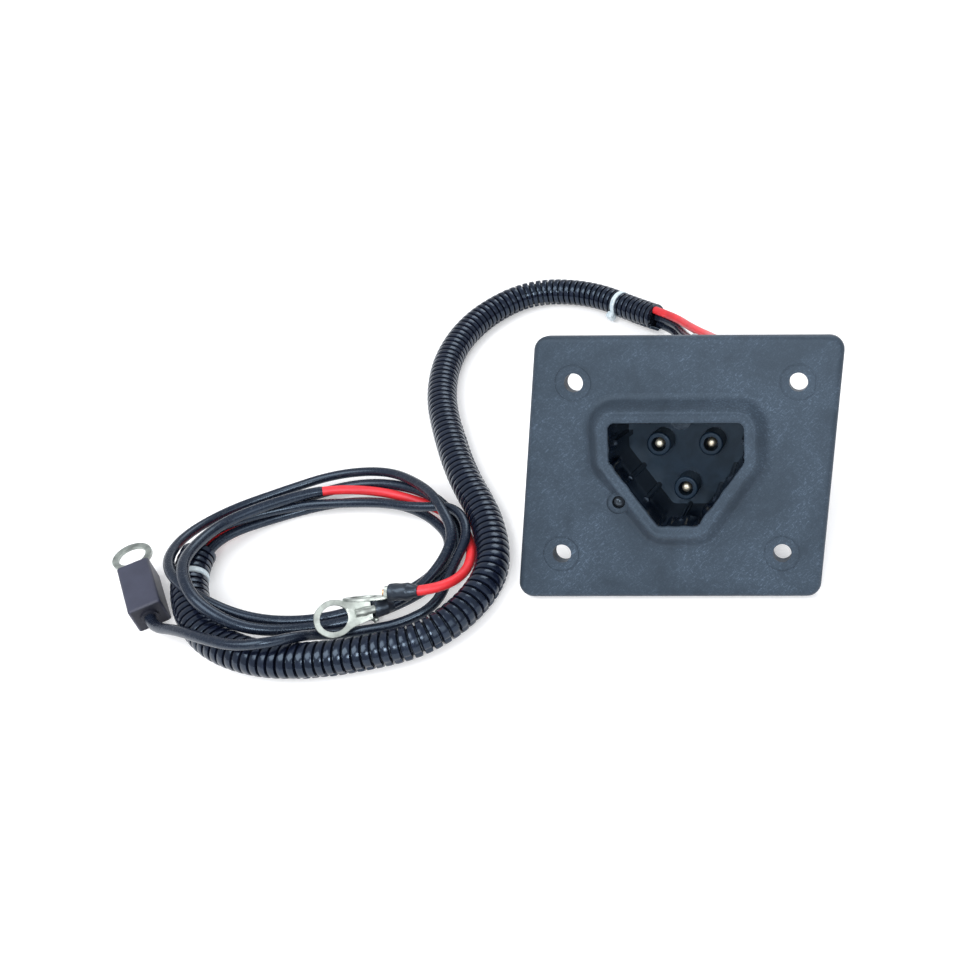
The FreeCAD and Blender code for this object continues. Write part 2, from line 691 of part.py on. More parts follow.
# Ring terminals
def ring_terminal(prefix, lead_end, towards, facing):
    """Terminal whose barrel starts at the lead's end; towards points to the ring."""
    x = Vector(*towards)
    x.normalize()
    n = Vector(*facing)
    n = n - x * n.dot(x)
    n.normalize()
    y = n.cross(x)
    m = FreeCAD.Matrix(
        x.x, y.x, n.x, lead_end[0],
        x.y, y.y, n.y, lead_end[1],
        x.z, y.z, n.z, lead_end[2],
        0, 0, 0, 1,
    )
    rb = terminal_barrel_d / 2
    bore = strand_d / 2
    drop = -rb
    barrel = Part.makeCylinder(rb, terminal_barrel_l, Vector(0, 0, 0), Vector(1, 0, 0))
    ring_x = terminal_barrel_l + 1.8 + ring_d / 2
    neck = [
        Vector(terminal_barrel_l - 1.5, -ring_neck_w / 2, drop),
        Vector(terminal_barrel_l + 1.2, -ring_neck_w / 2, drop),
        Vector(ring_x - ring_d * 0.3, -ring_d * 0.4, drop),
        Vector(ring_x - ring_d * 0.3, ring_d * 0.4, drop),
        Vector(terminal_barrel_l + 1.2, ring_neck_w / 2, drop),
        Vector(terminal_barrel_l - 1.5, ring_neck_w / 2, drop),
    ]
    tongue = Part.Face(Part.makePolygon(neck + [neck[0]])).extrude(Vector(0, 0, ring_t))
    ring = Part.makeCylinder(ring_d / 2, ring_t, Vector(ring_x, 0, drop))
    hole = Part.makeCylinder(ring_hole_d / 2, ring_t + 2, Vector(ring_x, 0, drop - 1))
    terminal = ring.fuse(tongue).fuse(barrel).cut(hole)
    terminal = terminal.cut(Part.makeCylinder(bore, terminal_barrel_l + 3, Vector(-1, 0, 0), Vector(1, 0, 0)))
    strands = Part.makeCylinder(bore, terminal_barrel_l + strand_show, Vector(0, 0, 0), Vector(1, 0, 0))
    sleeve_end = terminal_barrel_l - sleeve_bare
    sleeve = Part.makeCylinder(sleeve_d / 2, sleeve_grip + sleeve_end, Vector(-sleeve_grip, 0, 0), Vector(1, 0, 0))
    sleeve = sleeve.cut(Part.makeCylinder(lead_d / 2, sleeve_grip + 1, Vector(-sleeve_grip - 1, 0, 0), Vector(1, 0, 0)))
    sleeve = sleeve.cut(Part.makeCylinder(rb, sleeve_end + 1, Vector(0, 0, 0), Vector(1, 0, 0)))
    sleeve = sleeve.cut(tongue)
    for name, shape in (("ring_terminal", terminal), ("strands", strands), ("terminal_sleeve", sleeve)):
        s = shape.copy()
        s.Placement = FreeCAD.Placement(m)
        put("%s_%s" % (prefix, name), s.removeSplitter() if name == "ring_terminal" else s)


ring_terminal("black", black_route[-1], (-0.8084, -0.5259, 0.2644), (0.538, -0.477, 0.695))
ring_terminal("red", red_route[-1], (-0.9994, -0.0224, -0.0275), (-0.035, 0.702, 0.712))

# Fuse case with the ring of its stud terminal at the far end
fx, fy = 0.578, -0.816
end = Vector(*fuse_route[-1])
axis = Vector(fx, fy, 0)
across = Vector(fy, -fx, 0)
m = FreeCAD.Matrix(
    -axis.x, across.x, 0, end.x,
    -axis.y, across.y, 0, end.y,
    0, 0, 1, 0,
    0, 0, 0, 1,
)
case = Part.makeBox(fuse_l, fuse_w, fuse_h, Vector(fuse_boot_l, -fuse_w / 2, 0))
case = case.makeFillet(fuse_edge_r, [e for e in case.Edges if e.BoundBox.ZMax > 1e-3])
boot = Part.makeCylinder(fuse_boot_d / 2, fuse_boot_l + 1, Vector(0, 0, end.z), Vector(1, 0, 0))
case = case.fuse(boot)
tongue_start = fuse_boot_l + fuse_l - fuse_tongue_seat
slot = Part.makeBox(fuse_tongue_seat + 1, fuse_tongue_w, ring_t, Vector(tongue_start, -fuse_tongue_w / 2, fuse_ring_z - ring_t / 2))
case = case.cut(slot)
case.Placement = FreeCAD.Placement(m)
put("fuse_case", case)
ring_x = fuse_boot_l + fuse_l + fuse_ring_reach - ring_d / 2
tongue = Part.makeBox(ring_x - ring_hole_d / 2 - tongue_start, fuse_tongue_w, ring_t, Vector(tongue_start, -fuse_tongue_w / 2, fuse_ring_z - ring_t / 2))
blade = tongue.fuse(Part.makeCylinder(ring_d / 2, ring_t, Vector(ring_x, 0, fuse_ring_z - ring_t / 2)))
blade = blade.cut(Part.makeCylinder(ring_hole_d / 2, ring_t + 2, Vector(ring_x, 0, fuse_ring_z - ring_t / 2 - 1)))
blade = blade.removeSplitter()
blade.Placement = FreeCAD.Placement(m)
put("fuse_ring_terminal", blade)
print("lean %.2f deg, origin_y %.2f, cap_top %.2f" % (math.degrees(lean), origin_y, cap_top))
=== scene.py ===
"""Golf cart charger receptacle with its wiring harness, laid on a white table."""

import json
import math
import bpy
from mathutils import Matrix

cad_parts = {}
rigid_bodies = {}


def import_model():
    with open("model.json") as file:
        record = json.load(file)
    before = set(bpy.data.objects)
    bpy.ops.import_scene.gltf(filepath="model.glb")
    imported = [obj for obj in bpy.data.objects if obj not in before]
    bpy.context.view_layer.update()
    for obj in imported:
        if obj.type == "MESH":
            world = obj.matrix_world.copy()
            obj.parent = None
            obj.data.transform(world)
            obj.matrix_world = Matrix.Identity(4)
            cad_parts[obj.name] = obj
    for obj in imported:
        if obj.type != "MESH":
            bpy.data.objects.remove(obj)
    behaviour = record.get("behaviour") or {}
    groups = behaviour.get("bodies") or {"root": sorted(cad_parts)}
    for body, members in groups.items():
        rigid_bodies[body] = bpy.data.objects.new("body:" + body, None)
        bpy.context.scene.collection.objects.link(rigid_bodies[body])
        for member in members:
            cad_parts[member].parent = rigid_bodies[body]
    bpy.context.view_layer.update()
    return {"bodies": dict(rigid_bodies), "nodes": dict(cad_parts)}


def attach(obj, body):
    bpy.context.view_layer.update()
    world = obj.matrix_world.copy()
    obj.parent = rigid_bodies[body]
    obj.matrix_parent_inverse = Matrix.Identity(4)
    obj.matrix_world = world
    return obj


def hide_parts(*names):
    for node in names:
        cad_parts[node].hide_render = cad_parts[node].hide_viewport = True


bl_info = {
    "name": "Charger Receptacle",
    "version": (1, 0, 0),
    "blender": (4, 5, 0),
    "location": "View3D > Sidebar > Receptacle",
    "description": "Moulded three-pin charging socket with a loomed harness",
    "category": "Object",
}

import bpy
import numpy as np
from mathutils import Matrix, Vector

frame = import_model()
BODY = next(iter(frame["bodies"]))
NODES = frame["nodes"]

# Route points of each cord, in metres
ROUTES = {
    "split_loom": (
        (-0.0346, 0.1447, 0.009), (-0.0476, 0.154, 0.007), (-0.0757, 0.1712, 0.007),
        (-0.1093, 0.173, 0.007), (-0.1326, 0.1474, 0.007), (-0.1396, 0.1155, 0.007),
        (-0.1349, 0.083, 0.007), (-0.1223, 0.0531, 0.007), (-0.1074, 0.024, 0.007),
        (-0.0889, -0.0025, 0.007), (-0.078, -0.0343, 0.007), (-0.0939, -0.0648, 0.007),
        (-0.1261, -0.0746, 0.007), (-0.1583, -0.0774, 0.007), (-0.1892, -0.0643, 0.007),
        (-0.2089, -0.0335, 0.007), (-0.2085, -0.0205, 0.007),
    ),
    "black_lead": (
        (-0.2061, -0.02057, 0.0056), (-0.20582, -0.01057, 0.0056), (-0.1851, 0.0053, 0.0021),
        (-0.1633, 0.0137, 0.0022), (-0.1394, 0.0137, 0.0025), (-0.1185, 0.0054, 0.0024),
        (-0.1025, -0.0115, 0.0021), (-0.1083, -0.0335, 0.0021), (-0.1293, -0.0463, 0.0021),
        (-0.1496, -0.0548, 0.0036), (-0.1716, -0.0579, 0.009), (-0.1937, -0.0519, 0.0168),
        (-0.2126, -0.0368, 0.0159), (-0.219, -0.0153, 0.0096), (-0.2097, 0.0054, 0.0049),
        (-0.1889, 0.0185, 0.0046), (-0.1678, 0.0282, 0.006), (-0.1429, 0.0278, 0.0086),
        (-0.1227, 0.0146, 0.0126), (-0.1091, -0.0003, 0.0161), (-0.0975, -0.0188, 0.0113),
        (-0.11096, -0.0447, 0.00468), (-0.12066, -0.05101, 0.00785),
    ),
    "red_lead": (
        (-0.2109, -0.02043, 0.0056), (-0.21062, -0.01044, 0.0056), (-0.1954, 0.0062, 0.0036),
        (-0.176, 0.0165, 0.0036), (-0.1554, 0.0237, 0.0044), (-0.1335, 0.0209, 0.0058),
        (-0.1142, 0.011, 0.0066), (-0.1018, -0.0051, 0.0063), (-0.098, -0.0253, 0.0026),
        (-0.1115, -0.0413, 0.0021), (-0.1303, -0.0525, 0.0022), (-0.1502, -0.0593, 0.0041),
        (-0.1693, -0.0648, 0.0111), (-0.1875, -0.0591, 0.0195), (-0.2002, -0.0446, 0.0213),
        (-0.2056, -0.0289, 0.0173), (-0.2019, -0.0088, 0.0129), (-0.185, 0.0041, 0.0119),
        (-0.1674, 0.0144, 0.0096), (-0.1472, 0.0183, 0.0053), (-0.127, 0.0145, 0.0027),
        (-0.1078, 0.0052, 0.0021), (-0.0947, -0.0115, 0.0028), (-0.0896, -0.0331, 0.0084),
        (-0.09675, -0.04916, 0.01627), (-0.10874, -0.04943, 0.01594),
    ),
    "fuse_lead": (
        (-0.2085, -0.0205, 0.00975), (-0.20822, -0.0105, 0.00975), (-0.1932, 0.0003, 0.0079),
        (-0.1759, 0.008, 0.0063), (-0.1579, 0.0094, 0.0061), (-0.1398, 0.0081, 0.0076),
        (-0.1231, 0.0031, 0.0097), (-0.1042, 0.0027, 0.0112), (-0.0945, -0.0116, 0.0097),
        (-0.0981, -0.0286, 0.0064), (-0.0995, -0.0472, 0.0045), (-0.1131, -0.055, 0.0022),
        (-0.126, -0.0579, 0.0021), (-0.1366, -0.06, 0.0022), (-0.1426, -0.0642, 0.0076),
        (-0.145, -0.071, 0.0151), (-0.1522, -0.0772, 0.0195), (-0.1645, -0.0784, 0.019),
        (-0.1786, -0.0739, 0.0174), (-0.1947, -0.0661, 0.0131), (-0.21013, -0.0596, 0.006),
        (-0.2136, -0.0547, 0.006),
    ),
    "feed_red": (
        (0.007, 0.036615, 0.049922), (0.007, 0.0405, 0.0553), (0.0072, 0.0545, 0.0590),
        (0.0065, 0.0748, 0.0475), (0.0025, 0.0913, 0.036), (-0.01, 0.1123, 0.0255),
        (-0.02379, 0.13691, 0.01522), (-0.03506, 0.14503, 0.01346),
    ),
    "feed_black": (
        (0, 0.036615, 0.049922), (0, 0.040943, 0.05665), (-0.0006, 0.0563, 0.0625),
        (-0.002, 0.0743, 0.0485), (-0.006, 0.0938, 0.031), (-0.015, 0.1153, 0.0185),
        (-0.02333, 0.13658, 0.01075), (-0.0346, 0.1447, 0.009),
    ),
    "feed_third": (
        (-0.007, 0.036615, 0.049922), (-0.007, 0.040943, 0.05665), (-0.008, 0.0563, 0.0605),
        (-0.01, 0.0738, 0.045), (-0.0125, 0.0933, 0.0265), (-0.0185, 0.1143, 0.0125),
        (-0.02287, 0.13625, 0.00629), (-0.03414, 0.14437, 0.00454),
    ),
}

# Ends of the two ring terminals: start of the barrel, way to the ring, side that faces out
TERMINALS = {
    "black": ((-0.12066, -0.05101, 0.00785), (-0.8084, -0.5259, 0.2644), (0.538, -0.477, 0.695)),
    "red": ((-0.10874, -0.04943, 0.01594), (-0.9994, -0.0224, -0.0275), (-0.035, 0.702, 0.712)),
}

# Ties: node, place along the loom, turn of the head from the top in degrees, size of the head in mm
TIES = (
    ("loom_tie_near", 0.0275, -112.0, (2.3, 2.1, 1.8)),
    ("loom_tie_far", 0.4712, -119.0, (1.7, 1.7, 1.2)),
)

# Ring of a terminal, in mm along its own x: place of the hole, its radius and the ring's
RING_AT, HOLE_R, RING_R = 17.3, 5.2, 7.5

# Receptacle as drawn upright, in mm: lean of the plate, place of the origin and corners of the mouth
LEAN, STAND_Y = 0.571606, 42.39612
MOUTH = ((-8.2, 31.2), (8.2, 31.2), (27.5, 57.4), (27.5, 73.9), (-27.5, 73.9), (-27.5, 57.4))
LAMP_AT, LAMP_RECESS_R = (-25.108, 40.005), 4.85

# Camera of the photograph: place, pitch below the horizon, turn to the left, roll
CAMERA_PLACE = (0.0707, -0.3334, 0.3595)
CAMERA_PITCH, CAMERA_TURN, CAMERA_ROLL = 40.3, 0.913, -0.80
FOCAL_PX, CENTRE_PX, FRAME_PX = 1100.0, (839.5, 394.5), 954.0


class Look(bpy.types.PropertyGroup):
    """Sizes and colours of the harness and the mouldings."""

    loom_pitch: bpy.props.FloatProperty(
        name="Loom pitch", description="Distance from one corrugation to the next",
        default=0.0034, min=0.002, max=0.006, unit="LENGTH")
    loom_groove: bpy.props.FloatProperty(
        name="Loom groove", description="Depth of the grooves between corrugations",
        default=0.0013, min=0.0, max=0.002, unit="LENGTH")
    lead_diameter: bpy.props.FloatProperty(
        name="Lead diameter", description="Outer diameter of each insulated lead",
        default=0.0042, min=0.003, max=0.008, unit="LENGTH")
    sleeve_wall: bpy.props.FloatProperty(
        name="Sleeve wall", description="Wall of the black sleeve on the red lead",
        default=0.00022, min=0.0001, max=0.001, unit="LENGTH")
    sleeve_start: bpy.props.FloatProperty(
        name="Sleeve start", description="Where the black sleeve starts along the red lead",
        default=0.026, min=0.0, max=0.2, unit="LENGTH")
    sleeve_end: bpy.props.FloatProperty(
        name="Sleeve end", description="Where the black sleeve ends along the red lead",
        default=0.360, min=0.2, max=0.5, unit="LENGTH")
    plate_colour: bpy.props.FloatVectorProperty(
        name="Plate colour", description="Slate plastic of the face plate and cap",
        default=(0.027, 0.038, 0.053), size=3, subtype="COLOR", min=0, max=1)
    red_colour: bpy.props.FloatVectorProperty(
        name="Red insulation", description="Insulation of the positive lead",
        default=(0.74, 0.025, 0.03), size=3, subtype="COLOR", min=0, max=1)
    black_colour: bpy.props.FloatVectorProperty(
        name="Black insulation", description="Insulation of the other leads",
        default=(0.006, 0.009, 0.019), size=3, subtype="COLOR", min=0, max=1)
    loom_colour: bpy.props.FloatVectorProperty(
        name="Loom colour", description="Polyethylene of the split loom",
        default=(0.0035, 0.005, 0.012), size=3, subtype="COLOR", min=0, max=1)
    metal_colour: bpy.props.FloatVectorProperty(
        name="Tin colour", description="Tinned copper of the ring terminals",
        default=(0.46, 0.50, 0.47), size=3, subtype="COLOR", min=0, max=1)


def look():
    """The settings as they stand."""
    return bpy.context.scene.receptacle_look


# Materials

# Tint of the sheen on the dark plastics
COOL = (0.62, 0.80, 1.0, 1.0)

class Sock:
    """A shader socket that takes Python arithmetic; each sign adds one Math node."""

    def __init__(self, sheet, socket):
        self.sheet, self.socket = sheet, socket

    def _do(self, op, *others):
        return self.sheet.node("ShaderNodeMath", dict(operation=op), self, *others)

    def __add__(self, o): return self._do("ADD", o)
    def __mul__(self, o): return self._do("MULTIPLY", o)
    def __sub__(self, o): return self._do("SUBTRACT", o)
    def __truediv__(self, o): return self._do("DIVIDE", o)
    def __pow__(self, o): return self._do("POWER", o)
    def __rsub__(self, o): return self.sheet.node("ShaderNodeMath", dict(operation="SUBTRACT"), o, self)
    __radd__, __rmul__ = __add__, __mul__

    def clamp(self, low, high):
        """Map low to high onto 0 to 1, cut off at both ends."""
        return self.sheet.node("ShaderNodeMapRange", {}, self, low, high)


class Sheet:
    """Node tree of one material."""

    def __init__(self, name):
        self.material = bpy.data.materials.new(name)
        self.material.use_nodes = True
        self.tree = self.material.node_tree
        self.shader = self.tree.nodes["Principled BSDF"]
        self.place = self.node("ShaderNodeTexCoord", {}, out="Object")

    def node(self, kind, settings, *values, out=0, **named):
        """A node of that type with its settings, then the values or links of its sockets."""
        n = self.tree.nodes.new(kind)
        for key, value in settings.items():
            if key == "stops":
                ramp = n.color_ramp
                while len(ramp.elements) < len(value):
                    ramp.elements.new(0.5)
                for element, (at, colour) in zip(ramp.elements, value):
                    element.position, element.color = at, (*colour, 1.0)
            else:
                setattr(n, key, value)
        pairs = list(zip(n.inputs, values)) + [(n.inputs[k.replace("_", " ")], v) for k, v in named.items()]
        for socket, value in pairs:
            if isinstance(value, Sock):
                self.tree.links.new(value.socket, socket)
            elif value is not None:
                socket.default_value = value
        return Sock(self, n.outputs[out])

    def noise(self, scale, detail=3.0, rough=0.55, distort=0.0, at=None):
        return self.node("ShaderNodeTexNoise", {}, at or self.place, Scale=scale, Detail=detail,
                         Roughness=rough, Distortion=distort)

    def mix(self, factor, a, b):
        n = self.tree.nodes.new("ShaderNodeMix")
        n.data_type = "RGBA"
        for socket, value in ((n.inputs[0], factor), (n.inputs[6], a), (n.inputs[7], b)):
            if isinstance(value, Sock):
                self.tree.links.new(value.socket, socket)
            else:
                socket.default_value = value if socket is n.inputs[0] else (*value, 1.0)
        return Sock(self, n.outputs[2])

    def axis(self, name):
        return self.node("ShaderNodeSeparateXYZ", {}, self.place, out=name)

    def bump(self, height, distance, strength=1.0):
        return self.node("ShaderNodeBump", {}, Strength=strength, Distance=distance, Height=height)

    def finish(self, colour, rough, metallic=0.0, bump=None, **fixed):
        """Feed the shader; fixed values go on its own sockets."""
        values = dict(Base_Color=colour, Roughness=rough, Metallic=metallic, Normal=bump, **fixed)
        for key, value in values.items():
            socket = self.shader.inputs[key.replace("_", " ")]
            if isinstance(value, Sock):
                self.tree.links.new(value.socket, socket)
            elif value is not None:
                socket.default_value = (*value, 1.0) if key == "Base_Color" else value
        return self.material


def shade(colour, k):
    """The colour, k times as light."""
    return tuple(min(1.0, c * k) for c in colour)


def slate_plastic(name, colour, mottle=1.0):
    """Glass-filled moulding: short pale fibres in two directions, gathered in patches, over a fine grain."""
    s = Sheet(name)
    patch = s.noise(38, 3, 0.6, 0.8).clamp(0.36, 0.66)
    fibres = []
    for turn in (0.85, -0.7):
        slant = s.node("ShaderNodeMapping", dict(vector_type="TEXTURE"), s.place, None, (0.5, turn, 0.3),
                       (0.0026, 0.0006, 0.0006))
        fibres.append(s.noise(1.0, 3, 0.6, 0.4, at=slant).clamp(0.55, 0.76))
    speck = s.noise(1900, 2, 0.5).clamp(0.50, 0.78)
    fibre = fibres[0] + fibres[1]
    pale = fibre * (patch * 0.85 + 0.16) + patch * 0.24 + speck * 0.16
    base = s.mix(pale * mottle, shade(colour, 0.86), shade(colour, 2.7))
    grain = s.noise(2600, 3, 0.6)
    return s.finish(base, patch * 0.06 + 0.47 + speck * 0.06, 0.0,
                    s.bump(grain + fibre * 0.5, 0.00007, 0.6), Specular_IOR_Level=0.40, Specular_Tint=COOL)


def gloss_plastic(name, colour, rough=0.16, wave=0.00004, level=0.5):
    """Shiny moulding with a faint flow pattern in the gloss and a cool sheen."""
    s = Sheet(name)
    flow = s.noise(140, 3, 0.55, 0.6)
    base = s.mix(flow.clamp(0.35, 0.75), shade(colour, 0.8), shade(colour, 1.5))
    return s.finish(base, flow * 0.14 + (rough - 0.05), 0.0, s.bump(flow, wave, 0.6),
                    Specular_IOR_Level=level, Specular_Tint=COOL)


def insulation(name, colour, rough=0.25):
    """Extruded vinyl: soft gloss with handling marks and slow waves in the surface."""
    s = Sheet(name)
    slow = s.noise(90, 2, 0.5)
    marks = s.noise(900, 4, 0.65).clamp(0.52, 0.78)
    base = s.mix(slow.clamp(0.3, 0.7), shade(colour, 0.82), shade(colour, 1.22))
    base = s.mix(marks * 0.30, base, tuple(0.6 * c + 0.10 for c in colour))
    return s.finish(base, slow * 0.10 + (rough - 0.04) + marks * 0.12, 0.0,
                    s.bump(slow * 0.8 + marks * 0.15, 0.00012, 0.6),
                    Specular_IOR_Level=0.6, Specular_Tint=COOL)


def loom_plastic(name, colour):
    """Polyethylene: waxy gloss, painted shade that darkens the grooves and lightens the crowns, dust in the
    grooves and scuffs on the crowns.
    """
    s = Sheet(name)
    crown = s.node("ShaderNodeAttribute", dict(attribute_name="crown"), out="Fac")
    scuff = s.noise(420, 4, 0.65).clamp(0.42, 0.74)
    dust = s.noise(75, 3, 0.6).clamp(0.40, 0.72)
    # painted shade: the crown mask takes the grooves down to 0.4 of the colour and lifts the crowns towards 4
    # times it; the scuffs on the crowns are wear
    base = s.mix(crown * scuff * 0.30 + crown * 0.22, shade(colour, 0.4), shade(colour, 4.0))
    base = s.mix((1 - crown) * dust * 0.12, base, (0.07, 0.08, 0.10))
    return s.finish(base, scuff * 0.16 + 0.15, 0.0, s.bump(scuff, 0.00005, 0.5),
                    Specular_IOR_Level=0.6, Specular_Tint=COOL)


def tie_plastic(name):
    """Natural nylon, slightly see-through, with a faint cloud in its tone and surface."""
    s = Sheet(name)
    cloud = s.noise(500, 3, 0.6)
    base = s.mix(cloud.clamp(0.35, 0.7), (0.50, 0.60, 0.66), (0.76, 0.83, 0.86))
    return s.finish(base, cloud * 0.15 + 0.28, 0.0, s.bump(cloud, 0.00015, 0.7),
                    Subsurface_Weight=0.25, Subsurface_Radius=(0.002, 0.002, 0.002), Specular_IOR_Level=0.6)


def tinned(name, colour, rough=0.30, streaks=900):
    """Tinned sheet: fine rolling grain and duller blotches."""
    s = Sheet(name)
    blotch = s.noise(260, 4, 0.6).clamp(0.35, 0.72)
    grain = s.noise(streaks * 3, 2, 0.5)
    base = s.mix(blotch, shade(colour, 0.62), shade(colour, 1.25))
    return s.finish(base, blotch * 0.16 + (rough - 0.04) + grain * 0.06, 1.0,
                    s.bump(grain + blotch * 0.5, 0.00003, 0.5))


def case_plastic(name, colour):
    """Case plastic: dark within 1.4 mm of the near end, u < 1.4 mm with u = d . P - d . E along the case."""
    s = Sheet(name)
    grain = s.noise(1500, 3, 0.6)
    cloud = s.noise(120, 3, 0.6).clamp(0.3, 0.7)
    along = s.axis("X") * -0.578 + s.axis("Y") * 0.816 - 0.07882
    end = along.clamp(0.00145, 0.00120)
    base = s.mix(cloud * 0.5 + grain * 0.2, shade(colour, 0.8), shade(colour, 1.3))
    base = s.mix(end * 0.86, base, (0.010, 0.011, 0.018))
    return s.finish(base, cloud * 0.08 + 0.44, 0.0, s.bump(grain, 0.00006, 0.5), Specular_IOR_Level=0.4)


def rubber(name, colour):
    """Soft dull rubber with a faint bloom."""
    s = Sheet(name)
    bloom = s.noise(350, 4, 0.6).clamp(0.35, 0.75)
    base = s.mix(bloom * 0.6, shade(colour, 0.8), shade(colour, 1.9))
    return s.finish(base, bloom * 0.14 + 0.52, 0.0, s.bump(bloom, 0.00008, 0.5))


MATERIALS = {}


def material(name):
    """One material of the object by its name, made when it is first asked for."""
    if name not in MATERIALS:
        k = look()
        MATERIALS[name] = {
            "plate": lambda: slate_plastic("plate_slate", tuple(k.plate_colour)),
            "cap": lambda: slate_plastic("cap_slate", shade(tuple(k.plate_colour), 0.75), 0.7),
            "socket": lambda: gloss_plastic("socket_gloss", (0.0016, 0.0038, 0.0095), 0.20, 0.00012, 0.42),
            "shroud": lambda: gloss_plastic("shroud_gloss", (0.0075, 0.0160, 0.0290), 0.30, 0.00006, 0.28),
            "pin": lambda: tinned("pin_brass", (1.0, 0.90, 0.70), 0.46, 1600),
            "zinc": lambda: tinned("zinc_plate", (0.62, 0.63, 0.66), 0.28),
            "tin": lambda: tinned("tinned_copper", tuple(k.metal_colour), 0.40),
            "copper": lambda: tinned("bare_copper", (0.80, 0.45, 0.27), 0.30, 1200),
            "lamp": lambda: gloss_plastic("lamp_lens", (0.030, 0.036, 0.044), 0.08, 0.00002),
            "grommet": lambda: rubber("grommet_rubber", (0.014, 0.015, 0.018)),
            "red": lambda: insulation("red_vinyl", tuple(k.red_colour), 0.40),
            "black": lambda: insulation("black_vinyl", tuple(k.black_colour)),
            "loom": lambda: loom_plastic("loom_polyethylene", tuple(k.loom_colour)),
            "tie": lambda: tie_plastic("tie_nylon"),
            "shrink": lambda: insulation("shrink_sleeve", (0.016, 0.019, 0.027), 0.30),
            "case": lambda: case_plastic("fuse_case_slate", (0.043, 0.047, 0.075)),
        }[name]()
    return MATERIALS[name]


# Shapes

def unit(v):
    """Rows of v, each divided by its length."""
    return v / np.maximum(np.linalg.norm(v, axis=-1, keepdims=True), 1e-12)


def cord_line(name):
    """The cord's spline: its route points as the control points of a quadratic NURBS."""
    points = ROUTES[name]
    curve = bpy.data.curves.new(name + "_line", "CURVE")
    curve.dimensions = "3D"
    curve.resolution_u = 24
    spline = curve.splines.new("NURBS")
    spline.points.add(len(points) - 1)
    spline.points.foreach_set("co", np.column_stack([points, np.ones(len(points))]).ravel())
    spline.order_u = 3
    spline.use_endpoint_u = True
    return curve


def read_line(curve, step):
    """Lengths, points and whole length of a curve's drawn line, at an even step or at given lengths."""
    holder = bpy.data.objects.new("line_reader", curve)
    bpy.context.scene.collection.objects.link(holder)
    bpy.context.view_layer.update()
    mesh = bpy.data.meshes.new_from_object(holder)
    raw = np.zeros(len(mesh.vertices) * 3)
    mesh.vertices.foreach_get("co", raw)
    bpy.data.meshes.remove(mesh)
    bpy.data.objects.remove(holder)
    raw = raw.reshape(-1, 3)
    raw = raw[np.r_[True, np.linalg.norm(np.diff(raw, axis=0), axis=1) > 1e-7]]
    at = np.r_[0, np.cumsum(np.linalg.norm(np.diff(raw, axis=0), axis=1))]
    if np.isscalar(step):
        s = np.linspace(0, at[-1], max(8, int(round(at[-1] / step)) + 1))
    else:
        s = np.asarray(step)
    s = s[s <= at[-1] + 1e-9]
    return s, np.column_stack([np.interp(s, at, raw[:, i]) for i in range(3)]), at[-1]


def frames(path):
    """Tangent, level side and upward direction along a path that is never upright."""
    t = unit(np.gradient(path, axis=0))
    side = unit(np.cross(t, (0.0, 0.0, 1.0)))
    return t, side, np.cross(side, t)


def add_mesh(name, verts, faces, mat, smooth=True, sharp=None):
    """A finished piece at the origin from arrays of corners and faces, riding on the one body."""
    mesh = bpy.data.meshes.new(name)
    faces = [np.asarray(f) for f in (faces if isinstance(faces, list) else [faces])]
    loops = np.concatenate([f.ravel() for f in faces])
    sizes = np.concatenate([np.full(len(f), f.shape[1]) for f in faces])
    mesh.vertices.add(len(verts))
    mesh.vertices.foreach_set("co", np.ascontiguousarray(verts, dtype=np.float32).ravel())
    mesh.loops.add(len(loops))
    mesh.loops.foreach_set("vertex_index", loops.astype(np.int32))
    mesh.polygons.add(len(sizes))
    mesh.polygons.foreach_set("loop_start", np.r_[0, np.cumsum(sizes)[:-1]].astype(np.int32))
    mesh.update(calc_edges=True)
    mesh.validate()
    mesh.polygons.foreach_set("use_smooth", np.full(len(mesh.polygons), smooth))
    if sharp:
        mesh.set_sharp_from_angle(angle=math.radians(sharp))
    mesh.materials.append(mat)
    piece = bpy.data.objects.new(name, mesh)
    bpy.context.scene.collection.objects.link(piece)
    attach(piece, BODY)
    return piece


def grid_faces(rows, cols, closed=True):
    """Quads of a grid of rows x cols corners; closed joins the last column to the first."""
    i, j = np.meshgrid(np.arange(rows - 1), np.arange(cols if closed else cols - 1), indexing="ij")
    k = (j + 1) % cols
    return np.stack([i * cols + j, i * cols + k, (i + 1) * cols + k, (i + 1) * cols + j], -1).reshape(-1, 4)


def torus_faces(rows, cols):
    """Quads of a grid closed both ways."""
    i, j = np.meshgrid(np.arange(rows), np.arange(cols), indexing="ij")
    m, n = (i + 1) % rows, (j + 1) % cols
    return np.stack([i * cols + j, i * cols + n, m * cols + n, m * cols + j], -1).reshape(-1, 4)


def tube_faces(rings, around):
    """Quads of a tube and a fan at each end to the two centre points that follow its corners."""
    n = rings * around
    j = np.arange(around)
    k = (j + 1) % around
    first = np.stack([np.full(around, n), k, j], -1)
    last = np.stack([np.full(around, n + 1), n - around + j, n - around + k], -1)
    return [grid_faces(rings, around), first, last]


def tube(path, radius, around=24, rows=None, ahead=None):
    """Closed tube: point = path + r (cos a side + sin a up) + ahead tangent.

    radius is a number, one value for each ring, or a grid of rings x corners; rows picks rings of the path,
    so that a wall can turn back inside; ahead pushes corners along the path.
    """
    t, side, up = frames(path)
    if rows is not None:
        path, t, side, up = path[rows], t[rows], side[rows], up[rows]
    a = np.arange(around) * 2 * math.pi / around
    r = np.asarray(radius, float)
    r = np.broadcast_to(r if r.ndim == 2 else r.reshape(-1, 1), (len(path), around))
    verts = path[:, None] + r[..., None] * (
        np.cos(a)[None, :, None] * side[:, None] + np.sin(a)[None, :, None] * up[:, None])
    if ahead is not None:
        verts = verts + ahead[..., None] * t[:, None]
    return np.vstack([verts.reshape(-1, 3), path[:1], path[-1:]]), tube_faces(len(path), around)


